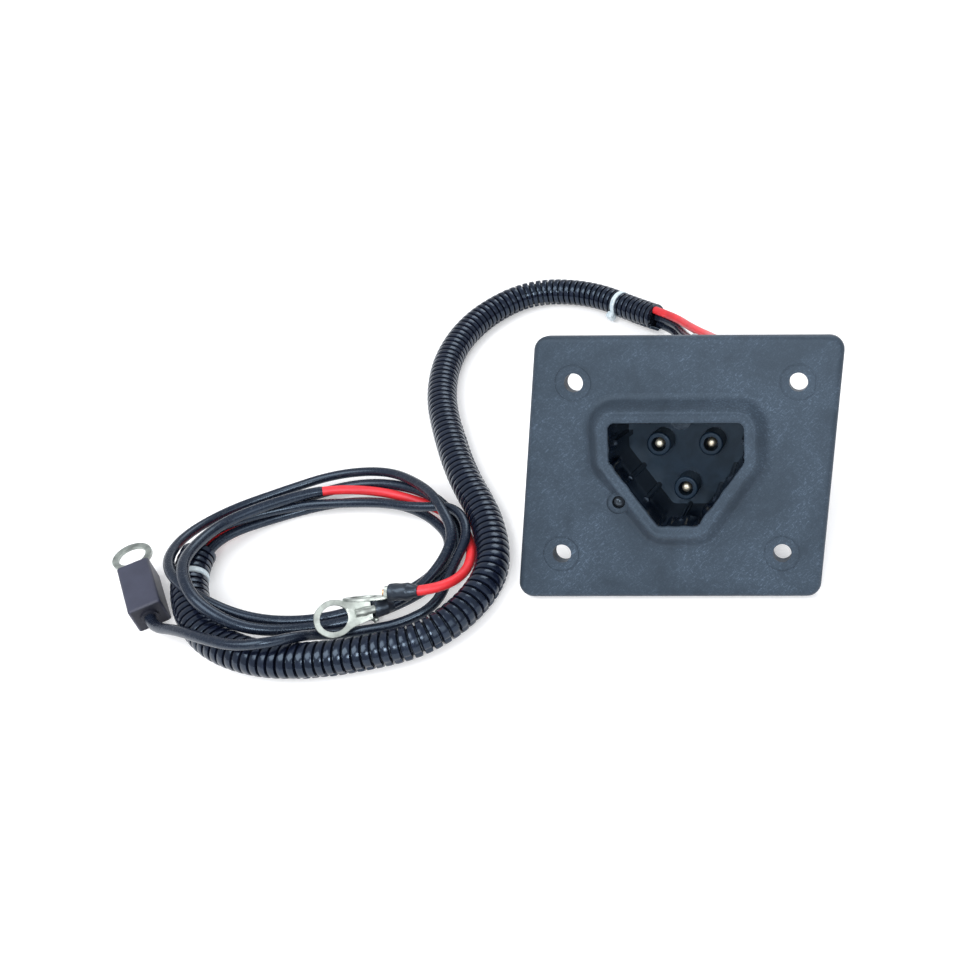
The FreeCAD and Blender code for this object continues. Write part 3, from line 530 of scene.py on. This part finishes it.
def stand(x, y, z):
    """From the upright drawing in mm (y into the socket) to the leaning receptacle in m."""
    c, s = math.cos(LEAN), math.sin(LEAN)
    return np.stack([x, y * c + z * s - STAND_Y, z * c - y * s + 6.0 * s], -1) * 0.001


def outline(points, grow, radius, arc=30, run=39):
    """Ring of a convex polygon with each side moved out by grow and an arc in each corner.

    Corner i: centre = meeting point of the moved sides - radius / cos(turn / 2) along the mean normal;
    the same count of points on every ring, so rings of different size join point to point.
    """
    p = np.asarray(points, float)
    d = unit(np.roll(p, -1, 0) - p)
    n = np.column_stack([d[:, 1], -d[:, 0]])
    before = np.roll(n, 1, 0)
    g, gb = np.broadcast_to(grow, len(p)), np.roll(np.broadcast_to(grow, len(p)), 1)
    det = before[:, 0] * n[:, 1] - before[:, 1] * n[:, 0]
    cb, cn = (before * p).sum(1) + gb, (n * p).sum(1) + g
    corner = np.column_stack([cb * n[:, 1] - cn * before[:, 1], cn * before[:, 0] - cb * n[:, 0]])
    corner = corner / det[:, None]
    mean = unit(before + n)
    centre = corner - mean * (radius / (mean * n).sum(1))[:, None]
    a0 = np.arctan2(before[:, 1], before[:, 0])
    turn = (np.arctan2(n[:, 1], n[:, 0]) - a0 + math.pi) % (2 * math.pi) - math.pi
    a = a0[:, None] + turn[:, None] * np.linspace(0, 1, arc)[None]
    arcs = centre[:, None] + radius * np.stack([np.cos(a), np.sin(a)], -1)
    end, start = arcs[:, -1], np.roll(arcs[:, 0], -1, 0)
    k = (np.arange(1, run) / run)[None, :, None]
    runs = end[:, None] * (1 - k) + start[:, None] * k
    return np.concatenate([arcs, runs], 1).reshape(-1, 2)


def dress(names, mat):
    """Give a material to nodes whose shape is right."""
    for name in names:
        mesh = NODES[name].data
        if not mesh.materials:
            mesh.materials.append(mat)
        for i in range(len(mesh.materials)):
            mesh.materials[i] = mat


# Pieces

class Piece:
    """What every operator of the object shares."""

    bl_options = {"REGISTER", "UNDO"}


class RECEPTACLE_OT_camera(Piece, bpy.types.Operator):
    """Place the camera where the photograph was taken"""

    bl_idname = "receptacle.camera"
    bl_label = "Camera"

    def execute(self, context):
        data = bpy.data.cameras.new("camera")
        data.sensor_width = 36.0
        data.lens = 36.0 * FOCAL_PX / FRAME_PX
        data.shift_x = (FRAME_PX / 2 - CENTRE_PX[0]) / FRAME_PX
        data.shift_y = (CENTRE_PX[1] - FRAME_PX / 2) / FRAME_PX
        data.clip_start, data.clip_end = 0.01, 20.0
        camera = bpy.data.objects.new("camera", data)
        context.scene.collection.objects.link(camera)
        camera.matrix_world = (
            Matrix.Translation(CAMERA_PLACE)
            @ Matrix.Rotation(math.radians(CAMERA_TURN), 4, "Z")
            @ Matrix.Rotation(math.radians(90 - CAMERA_PITCH), 4, "X")
            @ Matrix.Rotation(math.radians(CAMERA_ROLL), 4, "Z")
        )
        context.scene.camera = camera
        return {"FINISHED"}


def cable_tie(curve, node, at, turn, head):
    """Strap and head of a cable tie on the loom.

    Strap: a ring of radius 6.45 mm with a flat section and teeth 0.09 sin(64 a); head: a rounded block
    |u / l|^6 + |v / w|^6 + |h / t|^6 = 1 beside the strap with its pawl slot pressed 0.5 mm into the face.
    """
    _, (back, p, front), _ = read_line(curve, [at - 0.002, at, at + 0.002])
    t = unit(front - back)
    up = unit(np.array((0.0, 0.0, 1.0)) - t * t[2])
    side = np.cross(t, up)
    spin = math.radians(turn)
    a = np.arange(192) * 2 * math.pi / 192
    wide = np.array([-1.3, -1.3, -1.1, -0.4, 0.4, 1.1, 1.3, 1.3, 1.1, -1.1])
    high = np.array([5.95, 6.9, 7.05, 7.08, 7.08, 7.05, 6.9, 5.95, 5.9, 5.9])
    r = high[None] + (high > 7)[None] * 0.09 * np.sin(64 * a)[:, None]
    out = np.cos(a)[:, None] * up + np.sin(a)[:, None] * side
    band = p + 0.001 * (r[..., None] * out[:, None] + wide[None, :, None] * t)
    ring = np.roll(torus_faces(len(a), len(wide))[:, ::-1], 1, axis=1)
    v, u = np.meshgrid(np.linspace(-1.5, 1.5, 25), np.arange(48) * 2 * math.pi / 48, indexing="ij")
    q = np.stack([np.cos(v) * np.cos(u), np.cos(v) * np.sin(u), np.sin(v)], -1)
    q = q / (np.abs(q) ** 6).sum(-1, keepdims=True) ** (1 / 6)
    slot = np.exp(-(q[..., 0] / 0.35) ** 4 - (q[..., 1] / 0.5) ** 4) * (q[..., 2] > 0.8) * 0.5
    over = np.cos(spin) * up + np.sin(spin) * side
    along = np.cross(t, over)
    block = p + 0.001 * ((q[..., :1] * head[0]) * along + (q[..., 1:2] * head[1]) * t
                         + (6.9 + head[2] + q[..., 2:] * head[2] - slot[..., None]) * over)
    verts, faces = joined([(band.reshape(-1, 3), ring), (block.reshape(-1, 3), grid_faces(25, 48))])
    piece = add_mesh(node.replace("loom_tie", "cable_tie"), verts, faces, material("tie"), sharp=50)
    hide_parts(node)
    return piece


class RECEPTACLE_OT_loom(Piece, bpy.types.Operator):
    """Corrugated split loom

    Radius at length s: 7 mm - groove * (1 - c(x)) - 0.3 mm (1 - x)^2, with x from 0 in a groove to 1 between two
    and c a smooth step over 0.13 < x < 0.32; a slit wanders round the tube as
    205 + 26 sin(s / 55 mm) + 14 sin(s / 21 mm) degrees.
    """

    bl_idname = "receptacle.loom"
    bl_label = "Split loom"

    def execute(self, context):
        k = look()
        curve = cord_line("split_loom")
        _, coarse, length = read_line(curve, 0.002)
        turns = int(length / k.loom_pitch)
        pitch = length / turns
        phase = np.array([0.0, 0.06, 0.09, 0.12, 0.16, 0.22, 0.34, 0.50, 0.66, 0.78, 0.84, 0.88, 0.91, 0.94])
        s = np.unique(np.r_[(np.arange(turns)[:, None] + phase).ravel() * pitch, length])
        s, path, _ = read_line(curve, s)
        around = 40
        x = 1 - np.abs(2 * ((s / pitch) % 1.0) - 1)
        edge = np.clip((x - 0.13) / 0.19, 0, 1)
        crown = edge * edge * (3 - 2 * edge)
        radius = 0.007 - k.loom_groove * (1 - crown) - 0.00030 * (1 - x) ** 2
        near, far = np.abs(s - TIES[0][1]), np.abs(s - TIES[1][1])
        pinched = np.minimum(near, far) < 0.0018
        radius = np.where(pinched, np.minimum(radius, 0.00594), radius)
        a = np.arange(around) * 2 * math.pi / around
        slit = np.radians(205 + 26 * np.sin(s / 0.055) + 14 * np.sin(s / 0.021))
        gap = (a[None] - slit[:, None] + math.pi) % (2 * math.pi) - math.pi
        lip = np.exp(-((gap - 0.10) / 0.13) ** 2) * 0.00022 - np.exp(-((gap + 0.08) / 0.10) ** 2) * 0.00085
        r = np.minimum(radius[:, None] + np.where(pinched[:, None], 0, lip), 0.00714)
        # the near end is cut out of square and torn at the slit; both ends are hollow
        tear = np.exp(-s / 0.0016)[:, None] * (0.0008 * np.sin(a + 0.9) + 0.0005 * np.sin(3 * a))[None]
        tear = tear + np.exp(-s / 0.0035)[:, None] * np.exp(-(gap / 0.35) ** 2) * 0.0030
        tooth = np.exp(-(((a - math.radians(236)) / 0.22) ** 2))[None] * np.exp(-s / 0.0022)[:, None]
        tear = tear - 0.0042 * tooth
        rows = np.r_[6, 0, np.arange(len(s)), len(s) - 1, len(s) - 7]
        r = r[rows]
        r[[0, -1]] = 0.0050
        r[[1, -2]] = 0.0056
        tear = tear[rows]
        tear[0] = 0
        verts, faces = tube(path, r, around, rows, tear)
        piece = add_mesh("corrugated_loom", verts, faces, material("loom"), sharp=50)
        # the crown mark carries painted shade to the loom material: 0 in the grooves and inside the hollow ends,
        # cut to 0.3 beside the ties
        mark = piece.data.attributes.new("crown", "FLOAT", "POINT")
        crown_light = crown * np.where(pinched, 0.3, 1)
        value = np.r_[np.repeat(np.r_[0, 0, crown_light, 0, 0], around), 0, 0]
        mark.data.foreach_set("value", value[: len(piece.data.vertices)].astype(np.float32))
        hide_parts("split_loom")
        [cable_tie(curve, *tie) for tie in TIES]
        return {"FINISHED"}


def lead(name, node, mat):
    """A round insulated lead: the cord's spline with a bevel of the lead's radius."""
    curve = cord_line(node)
    curve.resolution_u = 16
    curve.bevel_depth = look().lead_diameter / 2
    curve.bevel_resolution = 7
    curve.use_fill_caps = True
    curve.materials.append(mat)
    piece = bpy.data.objects.new(name, curve)
    bpy.context.scene.collection.objects.link(piece)
    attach(piece, BODY)
    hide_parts(node)
    return piece


class RECEPTACLE_OT_leads(Piece, bpy.types.Operator):
    """The three feed leads, the three leads beyond the loom and the black sleeve on the red one"""

    bl_idname = "receptacle.leads"
    bl_label = "Leads"

    def execute(self, context):
        k = look()
        lead("feed_lead_red", "feed_red", material("red"))
        lead("feed_lead_black", "feed_black", material("black"))
        lead("feed_lead_third", "feed_third", material("black"))
        lead("black_lead_line", "black_lead", material("black"))
        s, path, _ = read_line(cord_line("red_lead"), 0.0012)
        inside = (s >= k.sleeve_start) & (s <= k.sleeve_end)
        s, path = s[inside], path[inside]
        ends = np.minimum(s - s[0], s[-1] - s)
        wall = k.sleeve_wall * np.clip(ends / 0.0008 + 0.35, 0, 1)
        verts, faces = tube(path, k.lead_diameter / 2 + wall, 24)
        sleeve = add_mesh("red_lead_sleeve", verts, faces, material("black"), sharp=50)
        lead("red_lead_line", "red_lead", material("red"))
        lead("fuse_lead_line", "fuse_lead", material("black"))
        return {"FINISHED"}


class RECEPTACLE_OT_collar(Piece, bpy.types.Operator):
    """Skin of the collar

    Rings of the mouth moved out by o at height h: a lip, a land with a low bead at its edge, a flank of
    slope 4 / 3 and a foot of radius 4 mm; the lip carries w(u) = sum of narrow bumps where the ribs break it.
    """

    bl_idname = "receptacle.collar"
    bl_label = "Collar"

    def execute(self, context):
        draft = lambda y: 1.5 * (y + 6.0) / 36.0
        land = np.array([4.5, 4.0, 4.5, 4.5, 4.5, 4.0])
        turn = math.atan2(6.0, 4.5)
        foot = np.linspace(0, turn, 9)[::-1]
        # each ring: how far out, depth, and how much of the bumps it takes
        rings = [(-draft(9.0) - 0.15, 9.0, 0.5), (-draft(7.0) - 0.30, 7.0, 1.0),
                 (-draft(4.0) - 0.30, 4.0, 1.0), (-draft(0.0) - 0.25, 0.0, 0.55),
                 (-draft(-3.0) - 0.20, -3.0, 0.35), (-0.30, -5.2, 0.28), (-0.14, -5.75, 0.2), (0.22, -6.05, 0.1),
                 (0.9, -6.12, 0), (2.2, -6.10, 0), (3.2, -6.12, 0), (3.6, -6.26, 0), (4.0, -6.24, 0),
                 (4.45, -6.0, 0), (4.72, -5.72, 0)]
        rings += [(4.5 + 0.12 + (6.0 - h) * 0.75, -h, 0) for h in (5.3, 4.4, 3.4, 2.4)]
        reach = 4.5 + 4.5 + 4.0 * math.tan(turn / 2)
        rings += [(reach - 4.0 * math.sin(f) + 0.12 * f / turn, 4.0 * math.cos(f) - 4.0 - 0.03, 0)
                  for f in foot]
        rings += [(reach + 0.4, 0.06, 0)]
        count = 6 * (30 + 38)
        u = np.arange(count) / count
        # bumps: place round the mouth, width, how far each stands into the mouth
        bumps = np.array([
            (0.060, 0.010, 0.6), (0.090, 0.006, 0.9), (0.135, 0.010, 0.9), (0.215, 0.008, 1.3),
            (0.250, 0.010, 1.8), (0.290, 0.007, 1.1), (0.345, 0.006, 1.0), (0.385, 0.006, 1.3),
            (0.415, 0.005, 0.9), (0.455, 0.006, 0.8), (0.600, 0.006, 0.6), (0.800, 0.007, 0.7),
            (0.870, 0.012, 1.2), (0.905, 0.008, 1.6), (0.940, 0.006, 1.0)])
        near = np.abs(u[:, None] - bumps[None, :, 0])
        near = np.minimum(near, 1 - near)
        wave = (np.clip(1.4 - near / bumps[None, :, 1], 0, 1) * bumps[None, :, 2]).sum(1)
        wave = wave + 0.12 * np.sin(u * 2 * math.pi * 23) + 0.10 * np.sin(u * 2 * math.pi * 41 + 1)
        flat, cut = [], []
        for o, h, w in rings:
            grow = o + (land - 4.5) * np.clip(o / 4.5, 0, 1)
            ring = outline(MOUTH, grow, max(1.2, 3.0 + o))
            if w:
                inner = outline(MOUTH, grow - 1.0, max(0.6, 2.0 + o))
                ring = ring + (inner - ring) * (wave * w)[:, None]
            # round the lamp's recess the skin stops at the recess edge and dips into the plate
            away = ring - LAMP_AT
            far = np.linalg.norm(away, axis=1)
            inside = far < LAMP_RECESS_R
            edge = LAMP_AT + away * (LAMP_RECESS_R / np.maximum(far, 0.01))[:, None]
            ring = np.where(inside[:, None], edge, ring)
            flat.append(stand(ring[:, 0], np.where(inside, 0.3, h), ring[:, 1]))
            cut.append(inside)
        faces = grid_faces(len(rings), count)
        faces = faces[~np.concatenate(cut)[faces].all(1)]
        piece = add_mesh("collar_skin", np.concatenate(flat), faces, material("plate"))
        piece.data.materials.append(material("socket"))
        glossy = np.arange(len(piece.data.polygons)) < 5 * count
        piece.data.polygons.foreach_set("material_index", glossy.astype(np.int32))
        return {"FINISHED"}


class RECEPTACLE_OT_mouldings(Piece, bpy.types.Operator):
    """Finish of the plate, the socket, the pins, the cap and the lamp"""

    bl_idname = "receptacle.mouldings"
    bl_label = "Mouldings"

    def execute(self, context):
        dress(["face_plate"] + ["screw_post_%d" % i for i in (1, 2, 3, 4)], material("plate"))
        dress(["back_cap"], material("cap"))
        dress(["socket_body", "lamp_holder"], material("socket"))
        dress(["contact_carrier"], material("shroud"))
        dress(["contact_positive", "contact_negative", "contact_sense"], material("pin"))
        dress(["cap_screw_%d" % i for i in (1, 2, 3, 4)], material("zinc"))
        dress(["status_lamp"], material("lamp"))
        dress(["lead_grommet"], material("grommet"))
        return {"FINISHED"}


def place_local(key, points):
    """From a terminal's own axes in mm (x to the ring, z out of its face) to the part in m."""
    start, x, n = (np.array(v) for v in TERMINALS[key])
    x = unit(x)
    n = unit(n - x * (n @ x))
    return start + 0.001 * points @ np.vstack([x, np.cross(n, x), n])


def lug_blade(back, half, waist):
    """Ring and tongue of a terminal as one closed band of corners round the hole.

    In polar form about the hole: R(a) = soft maximum of the ring's radius and the ray's meeting with the
    tongue's side or end; the section from the hole to R has its corners cut by about 0.2 mm.
    back and half are the reach and half width of the tongue, waist a point of its side near the ring.
    """
    count = 160
    a = np.arange(count) * 2 * math.pi / count
    c, s = np.cos(a), np.abs(np.sin(a))
    ax, ay, (bx, by) = back, half, waist
    end = np.where(c > 0.05, ax / np.maximum(c, 0.05), 0)
    side = (ax * (by - ay) - ay * (bx - ax)) / (c * (by - ay) - s * (bx - ax))
    side = np.where((c > 0) & (side > 0), side, 0)
    tongue = np.where(s * ax < ay * c, end, np.where(s * bx < by * c, side, 0))
    reach = 0.5 * (tongue + RING_R + np.sqrt((tongue - RING_R) ** 2 + 0.15))
    low, high = -2.8, -1.55
    fr = np.array([0, 0, 0.06, 0.3, 0.6, 0.9, 1, 1, 1, 0.9, 0.5, 0.06])
    inset = np.array([0, 0, 0, 0, 0, -0.25, -0.18, 0, 0, -0.25, 0, 0])
    z = np.array([low + 0.2, high - 0.2, high, high, high, high, high, high - 0.22,
                  low + 0.22, low, low, low])
    r = HOLE_R + (reach[:, None] - HOLE_R) * fr[None] + inset[None]
    r = r + (fr[None] >= 0.9) * 0.05 * np.sin(7 * a + 1)[:, None]
    x = RING_AT - r * c[:, None]
    y = r * np.sin(a)[:, None]
    rise = np.clip((9.5 - x) / 6.0, 0, 1) ** 1.5 * 1.1
    points = np.stack([x, y, np.broadcast_to(z, r.shape) + rise], -1).reshape(-1, 3)
    return points, torus_faces(count, len(z))


def straight(x0, x1, rings, radius, around=32, centre=None):
    """Closed tube along a terminal's x; radius(x, a) fills a grid and centre(x) moves each ring in y and z."""
    x = np.linspace(x0, x1, rings)
    a = np.arange(around) * 2 * math.pi / around
    r = radius(x[:, None], a[None])
    mid = np.zeros((rings, 2)) if centre is None else centre(x)
    points = np.stack([np.broadcast_to(x[:, None], r.shape), r * np.cos(a) + mid[:, :1],
                       r * np.sin(a) + mid[:, 1:]], -1)
    points = np.vstack([points.reshape(-1, 3), [(x0, *mid[0])], [(x1, *mid[-1])]])
    return points, tube_faces(rings, around)


def joined(parts):
    """Corners and faces of several shells as one mesh."""
    verts, faces, base = [], [], 0
    for points, groups in parts:
        verts.append(points)
        faces += [g + base for g in (groups if isinstance(groups, list) else [groups])]
        base += len(points)
    return np.concatenate(verts), faces


class RECEPTACLE_OT_terminals(Piece, bpy.types.Operator):
    """Ring terminals, their crimps, strands and heat-shrink sleeves, and the fuse case

    Sleeve radius, with t from 0 at the lead to 1 at the crimp: r(x, a) = 2.35 + 1.15 min(t / 0.35, 1)^1.5
    - 0.35 max((t - 0.75) / 0.25, 0)^2 + t (0.16 sin(2 a + 0.8 x) + 0.06 sin(5 a - 1.9 x)).
    """

    bl_idname = "receptacle.terminals"
    bl_label = "Terminals"

    def execute(self, context):
        square = lambda x, a: (np.abs(np.cos(a)) ** 5 + np.abs(np.sin(a)) ** 5) ** -0.2
        jag = lambda x, a: 1 + 0.12 * np.sin(3.1 * x + 2 * a) + 0.10 * np.sin(5.3 * x + 3 * a)
        # black: long tongue over the lead, a low crimp over its strands and a torn bright edge at its side
        black = [
            lug_blade(14.0, 3.5, (5.0, 5.5)),
            straight(1.4, 5.0, 16, lambda x, a: jag(x, a) * (0.55 + 0.75 * np.sin((x - 1.2) / 4.0 * math.pi)),
                     16, lambda x: np.column_stack([3.4 + 0.9 * np.sin(x * 0.9), -2.0 + 0.5 * np.sin(1.7 * x)])),
            straight(0.6, 9.6, 18, lambda x, a: square(x, a) ** 0.4 * (1.72 + 0.12 * np.sin(1.3 * x)), 28,
                     lambda x: np.column_stack([0 * x, -0.15 + 0 * x])),
        ]
        # red: short tongue and a square barrel dented by the crimp
        red = [
            lug_blade(10.9, 3.3, (5.2, 5.3)),
            straight(0.0, 8.0, 14, lambda x, a: square(x, a) * (2.55 - 0.25 * np.exp(-((x - 4) / 1.2) ** 2)), 32),
        ]
        for key, parts, front in (("black", black, 2.4), ("red", red, 6.5)):
            points, faces = joined(parts)
            lug = add_mesh(key + "_ring_lug", place_local(key, points), faces, material("tin"), sharp=35)
            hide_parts(key + "_ring_terminal")

            def fold(x, a, front=front):
                t = np.clip((x + 5.0) / (front + 5.0), 0, 1)
                body = 2.35 + 1.15 * np.clip(t / 0.35, 0, 1) ** 1.5
                body = body - 0.35 * np.clip((t - 0.75) / 0.25, 0, 1) ** 2
                return body + t * (0.16 * np.sin(2 * a + 0.8 * x) + 0.06 * np.sin(5 * a - 1.9 * x))

            points, faces = straight(-5.0, front, 40, fold, 48)
            sleeve = add_mesh(key + "_shrink", place_local(key, points), faces, material("shrink"), sharp=60)
            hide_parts(key + "_terminal_sleeve")
        dress(["fuse_ring_terminal"], material("tin"))
        dress(["black_strands", "red_strands"], material("copper"))
        dress(["fuse_case"], material("case"))
        return {"FINISHED"}


class RECEPTACLE_OT_stage(Piece, bpy.types.Operator):
    """White table, white surround and soft studio lights"""

    bl_idname = "receptacle.stage"
    bl_label = "Stage"

    def execute(self, context):
        scene = context.scene
        scene.view_settings.view_transform = "Standard"
        mesh = bpy.data.meshes.new("table")
        h = 3.0
        mesh.from_pydata([(-h, -h, 0), (h, -h, 0), (h, h, 0), (-h, h, 0)], [], [(0, 1, 2, 3)])
        table = bpy.data.objects.new("table", mesh)
        scene.collection.objects.link(table)
        s = Sheet("table_white")
        mesh.materials.append(s.material)
        s.shader.inputs["Base Color"].default_value = (0.80, 0.80, 0.81, 1)
        s.shader.inputs["Roughness"].default_value = 0.9
        s.shader.inputs["Specular IOR Level"].default_value = 0.1
        path = s.tree.nodes.new("ShaderNodeLightPath")
        seen = Sock(s, path.outputs["Is Camera Ray"]) + Sock(s, path.outputs["Is Glossy Ray"])
        seen = seen + Sock(s, path.outputs["Is Transmission Ray"])
        # the lamps fade with distance, so the table's own glow grows from 0.5 m to 1.5 m out
        away = (s.axis("X") ** 2.0 + s.axis("Y") ** 2.0) ** 0.5
        tone = s.mix(away.clamp(0.5, 1.5), (0.58, 0.58, 0.58), (1, 1, 1))
        glow = s.node("ShaderNodeEmission", {}, tone, 0.52)
        total = s.node("ShaderNodeAddShader", {}, Sock(s, s.shader.outputs[0]), glow)
        mixed = s.node("ShaderNodeMixShader", {}, seen, Sock(s, s.shader.outputs[0]), total)
        s.tree.links.new(mixed.socket, s.tree.nodes["Material Output"].inputs["Surface"])

        world = bpy.data.worlds.new("surround")
        scene.world = world
        world.use_nodes = True
        tree = world.node_tree
        back = tree.nodes["Background"]
        rays = tree.nodes.new("ShaderNodeLightPath")
        white = tree.nodes.new("ShaderNodeBackground")
        white.inputs["Color"].default_value = (1, 1, 1, 1)
        white.inputs["Strength"].default_value = 1.0
        back.inputs["Color"].default_value = (0.93, 0.96, 1.0, 1)
        back.inputs["Strength"].default_value = 0.62
        pick = tree.nodes.new("ShaderNodeMixShader")
        tree.links.new(rays.outputs["Is Camera Ray"], pick.inputs[0])
        tree.links.new(back.outputs[0], pick.inputs[1])
        tree.links.new(white.outputs[0], pick.inputs[2])
        tree.links.new(pick.outputs[0], tree.nodes["World Output"].inputs["Surface"])
        aim = Vector((-0.05, 0.0, 0.02))
        for name, place, size, power in (
            ("key", (-0.55, -0.35, 1.05), 0.75, 8.0),
            ("fill", (0.75, -0.70, 0.75), 0.80, 3.5),
            ("back", (0.15, 0.95, 0.85), 0.70, 5.0),
            ("front", (0.03, -0.70, 0.62), 0.26, 3.2),
        ):
            data = bpy.data.lights.new(name, "AREA")
            data.shape, data.size, data.energy = "SQUARE", size, power
            lamp = bpy.data.objects.new(name, data)
            scene.collection.objects.link(lamp)
            lamp.location = place
            lamp.rotation_euler = (aim - Vector(place)).to_track_quat("-Z", "Y").to_euler()
        return {"FINISHED"}


class RECEPTACLE_PT_panel(bpy.types.Panel):
    """Sizes, colours and pieces of the receptacle"""

    bl_idname = "RECEPTACLE_PT_panel"
    bl_label = "Charger receptacle"
    bl_space_type = "VIEW_3D"
    bl_region_type = "UI"
    bl_category = "Receptacle"

    def draw(self, context):
        for name in Look.__annotations__:
            self.layout.prop(context.scene.receptacle_look, name)
        for step in STEPS:
            self.layout.operator(step.bl_idname)


STEPS = (
    RECEPTACLE_OT_camera, RECEPTACLE_OT_loom, RECEPTACLE_OT_terminals, RECEPTACLE_OT_leads,
    RECEPTACLE_OT_mouldings, RECEPTACLE_OT_collar, RECEPTACLE_OT_stage,
)
CLASSES = (Look, *STEPS, RECEPTACLE_PT_panel)


def register():
    for cls in CLASSES:
        bpy.utils.register_class(cls)
    bpy.types.Scene.receptacle_look = bpy.props.PointerProperty(type=Look)


def unregister():
    del bpy.types.Scene.receptacle_look
    for cls in reversed(CLASSES):
        bpy.utils.unregister_class(cls)


def main():
    """Make every piece in order."""
    register()
    for step in STEPS:
        group, name = step.bl_idname.split(".")
        getattr(getattr(bpy.ops, group), name)()


if __name__ == "__main__":
    main()
